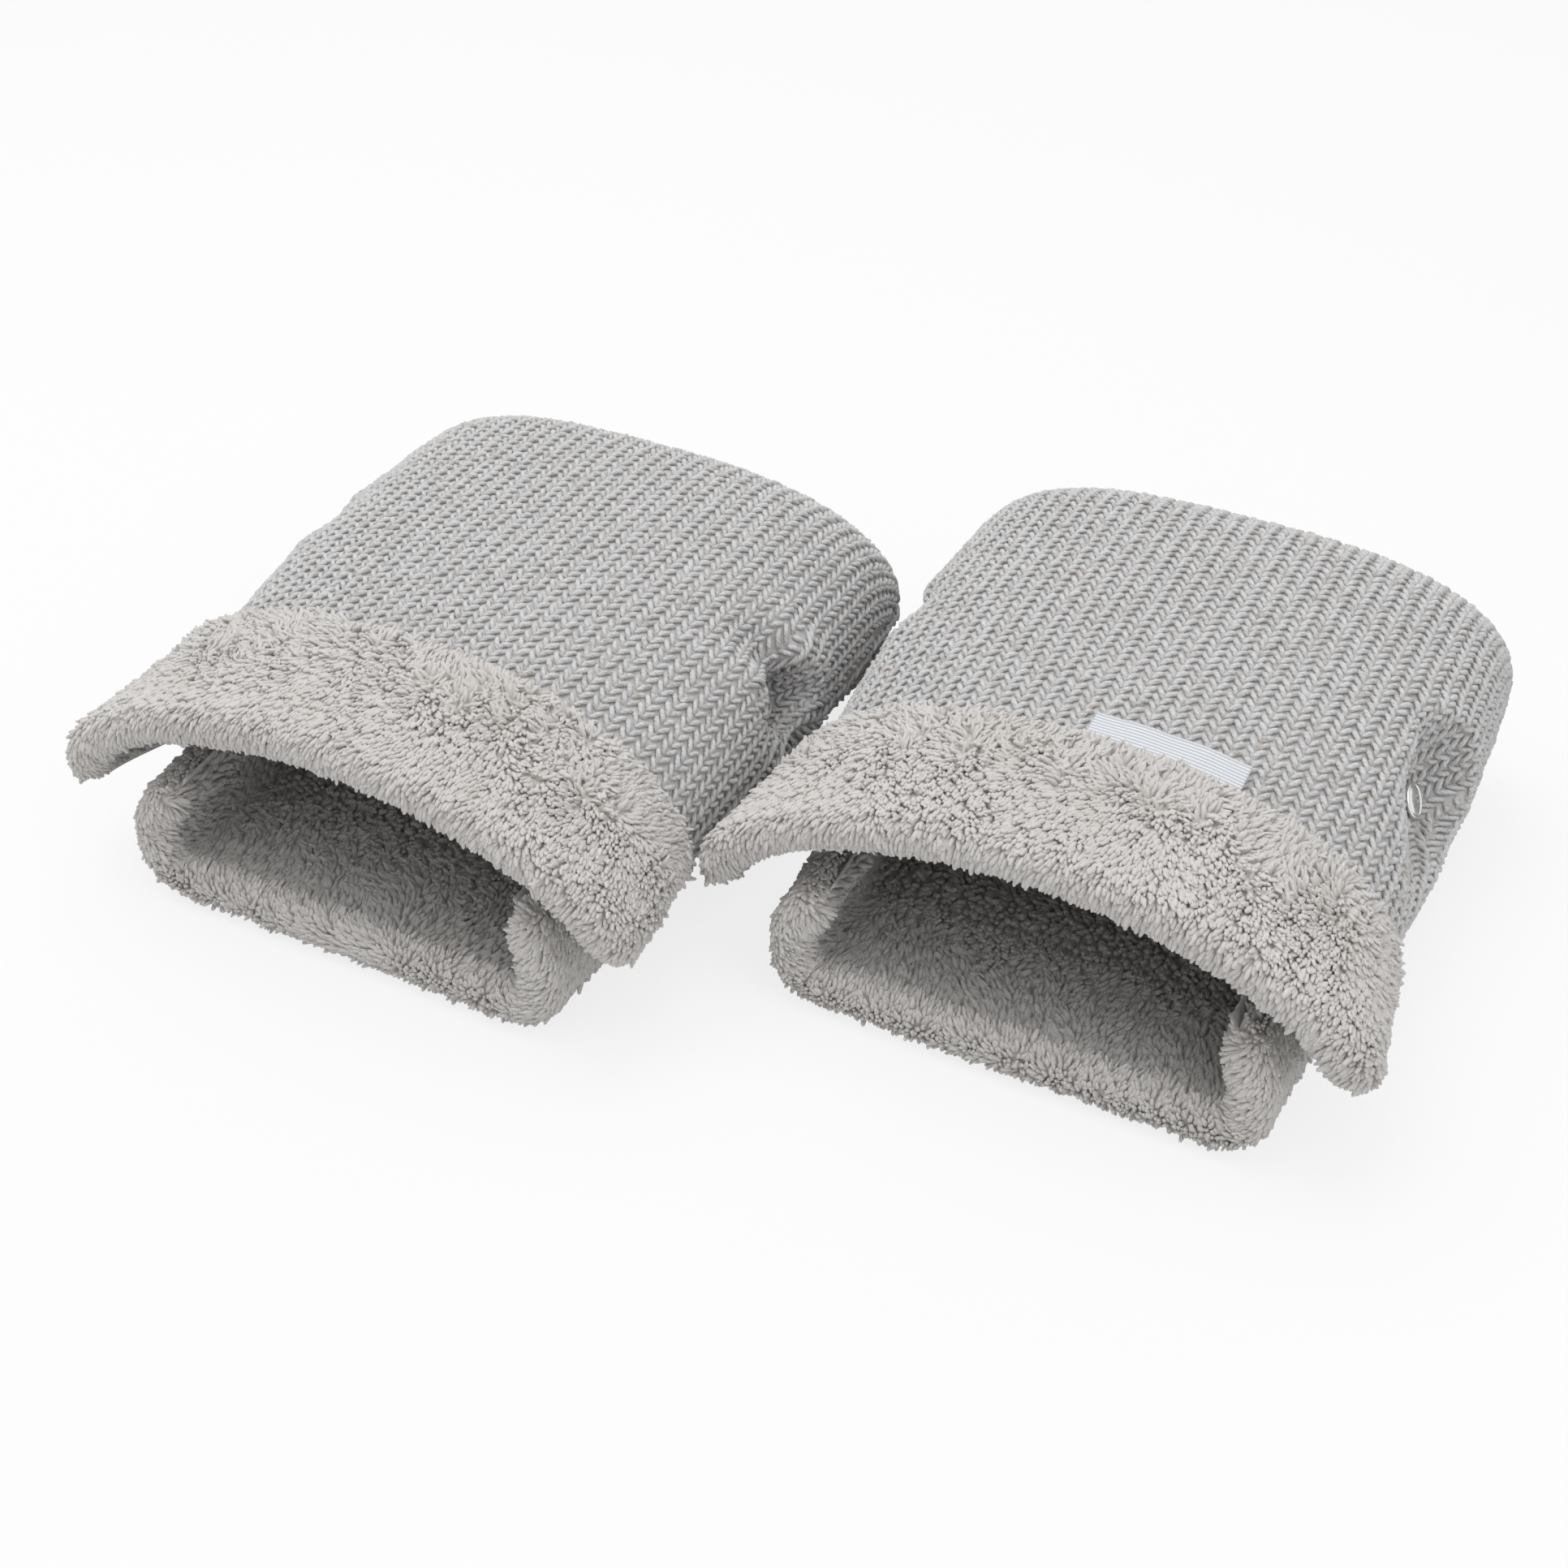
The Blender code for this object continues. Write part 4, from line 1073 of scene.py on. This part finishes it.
def outer_knit(name, panel, rng):
    """The knit's stitches and ground: the top and base parts on the bodies that carry them, the pinch and
    fold parts fixed where they lie.
    """
    yarns, grounds = knit(name, panel, rng), backing(name, panel)
    for word, piece in list(yarns.items()) + list(grounds.items()):
        if "pinch" in word:
            pull_blend(piece)
        elif "fold" in word:
            fold_blend(piece)
        else:
            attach(piece, f"{name}_base" if "base" in word else f"{name}_top")
    for word in ("knit_top", "knit_base", "knit_pinch_left", "knit_pinch_right"):
        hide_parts(f"{name}_{word}")
    return yarns, grounds


def cuff(name, half, panel, rng):
    """A cuff's core and its tufts, outside and inside, each in two pieces side by side."""
    grid, normals = cuff_grid(panel, half == "top")
    core = dress(shell(f"{name}_cuff_{half}_core", grid, normals), "fleece_ground")
    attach(core, f"{name}_{half}")
    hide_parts(f"{name}_cuff_{half}")
    share = ease(np.linspace(0.0, 1.0, OUTER_ROWS), CUFF_LAY_START, CUFF_LAY_END)
    amounts = [mix(*CUFF_LAY, share), np.linspace(*INNER_CUFF_LAY, len(grid) - OUTER_ROWS)]
    lay = combed(grid, np.concatenate(amounts))
    middle = FLEECE_COLUMNS // 2
    for word, look, pile, rows in (
        ("outer", "fleece", OUTER_CUFF, slice(0, OUTER_ROWS)),
        ("inner", "lining", INNER_CUFF, slice(OUTER_ROWS - 1, None)),
    ):
        for letter, columns in (("a", slice(0, middle + 1)), ("b", slice(middle, None))):
            part = (rows, columns)
            piece_name = f"{name}_cuff_{half}_{word}_{letter}"
            piece = tufts(piece_name, look, grid[part], normals[part], pile, lay[part], rng)
            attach(piece, f"{name}_{half}")


def lining(name, half, panel, rng):
    """A half's lining and its tufts, left open round the press studs in the top half."""
    top = half == "top"
    front = (TOP_EDGE if top else BASE_EDGE) - CUFF_INSIDE + LINING_UNDER_CUFF
    rows = np.linspace(FOLD_STRIP - LINING_OVERLAP, front, LINING_ROWS)
    grid, ups, holes = lining_grid(panel, rows if top else -rows, FLEECE_COLUMNS)
    bed = shell(f"{name}_lining_{half}_bed", grid, ups, holes if top else None)
    dress(bed, "lining_ground")
    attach(bed, f"{name}_{half}")
    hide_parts(f"{name}_lining_{half}")
    weight = (~(holes[:-1, :-1] | holes[1:, 1:])).astype(float) if top else None
    lay = combed(grid, np.full(len(grid), LINING_LAY))
    pile = tufts(f"{name}_lining_{half}_pile", "lining", grid, ups, LINING, lay, rng, weight)
    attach(pile, f"{name}_{half}")


def fold_lining(name, panel, rng):
    """The strip of lining that bends at the fold."""
    rows = np.linspace(-FOLD_STRIP, FOLD_STRIP, FOLD_LINING_ROWS)
    grid, ups, _ = lining_grid(panel, rows, FOLD_LINING_COLUMNS)
    bed = dress(shell(f"{name}_lining_fold_bed", grid, ups), "lining_ground")
    lay = combed(grid, np.full(len(grid), FOLD_LINING_LAY))
    pile = tufts(f"{name}_lining_fold_pile", "lining", grid, ups, FOLD_LINING, lay, rng)
    fold_blend(bed)
    fold_blend(pile)


def muff(name, number):
    panel = Panel(name)
    rng = np.random.default_rng(100 + number)
    yarns, grounds = outer_knit(name, panel, rng)
    for half in ("top", "base"):
        cuff(name, half, panel, rng)
        lining(name, half, panel, rng)
    fold_lining(name, panel, rng)
    for side in WORDS:
        snap_cap(name, side)
    if name == "right":
        label(panel)


# The studio

def floor():
    """A pale matt floor, which camera, gloss and glass see nearly white."""
    look = Wiring(bpy.data.materials.new("floor_white"))
    look.surface({"Base Color": FLOOR_COLOUR, "Roughness": 1.0, "Specular IOR Level": 0.0})
    glow = look.node("Emission", {"Color": (1, 1, 1, 1)})[0]
    rays = look.node("LightPath", {})
    seen = look.maths("MAXIMUM", rays["Is Camera Ray"], rays["Is Glossy Ray"])
    seen = look.maths("MAXIMUM", seen, rays["Is Transmission Ray"])
    matt = look.nodes["Principled BSDF"].outputs[0]
    both = look.node("MixShader", {0: look.maths("MULTIPLY", seen, FLOOR_GLOW), 1: matt, 2: glow})[0]
    look.fill(look.nodes["Material Output"], {"Surface": both})
    bpy.ops.mesh.primitive_plane_add(size=FLOOR_SIZE, location=(0, 0, -FLOOR_DROP))
    made = bpy.context.object
    made.name = "floor"
    made.data.materials.append(look.owner)


def sky():
    """White light from all round, which the camera sees as a pale backdrop."""
    world = bpy.data.worlds.new("studio")
    bpy.context.scene.world = world
    look = Wiring(world)
    rays = look.node("LightPath", {})
    seen = look.maths("MAXIMUM", rays["Is Camera Ray"], rays["Is Glossy Ray"])
    strength = look.node("MapRange", {"Value": seen, "To Min": SKY_LIGHT, "To Max": SKY_SEEN})[0]
    look.fill(look.nodes["Background"], {"Color": (1.0, 1.0, 1.0, 1), "Strength": strength})


def aim(made, place, turn):
    made.location = place
    made.rotation_mode = "QUATERNION"
    made.rotation_quaternion = turn
    return made


def lamp(name, place, size, power):
    light = bpy.data.lights.new(name, "AREA")
    light.shape = "DISK"
    light.size = size
    light.energy = power
    aim(add(name, light), place, (LAMP_TARGET - Vector(place)).to_track_quat("-Z", "Y"))


def camera():
    level = math.cos(VIEW_ELEVATION)
    back = Vector((math.sin(VIEW_AZIMUTH) * level, -math.cos(VIEW_AZIMUTH) * level, math.sin(VIEW_ELEVATION)))
    view = bpy.data.cameras.new("view")
    view.sensor_width = SENSOR
    view.lens = VIEW_FOCAL_PIXELS / PHOTO_PIXELS * SENSOR
    view.clip_start = VIEW_CLIP
    turn = Quaternion(back, -VIEW_ROLL) @ (-back).to_track_quat("-Z", "Y")
    bpy.context.scene.camera = aim(add("view", view), VIEW_TARGET + back * VIEW_DISTANCE, turn)


bpy.context.scene.view_settings.view_transform = "Standard"
floor()
sky()
for given in LAMPS:
    lamp(*given)
camera()
for number, name in enumerate(PLACES):
    muff(name, number)
for node_name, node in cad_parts.items():
    if "snap" in node_name and not node.hide_render:
        dress(node, "snap_plate")
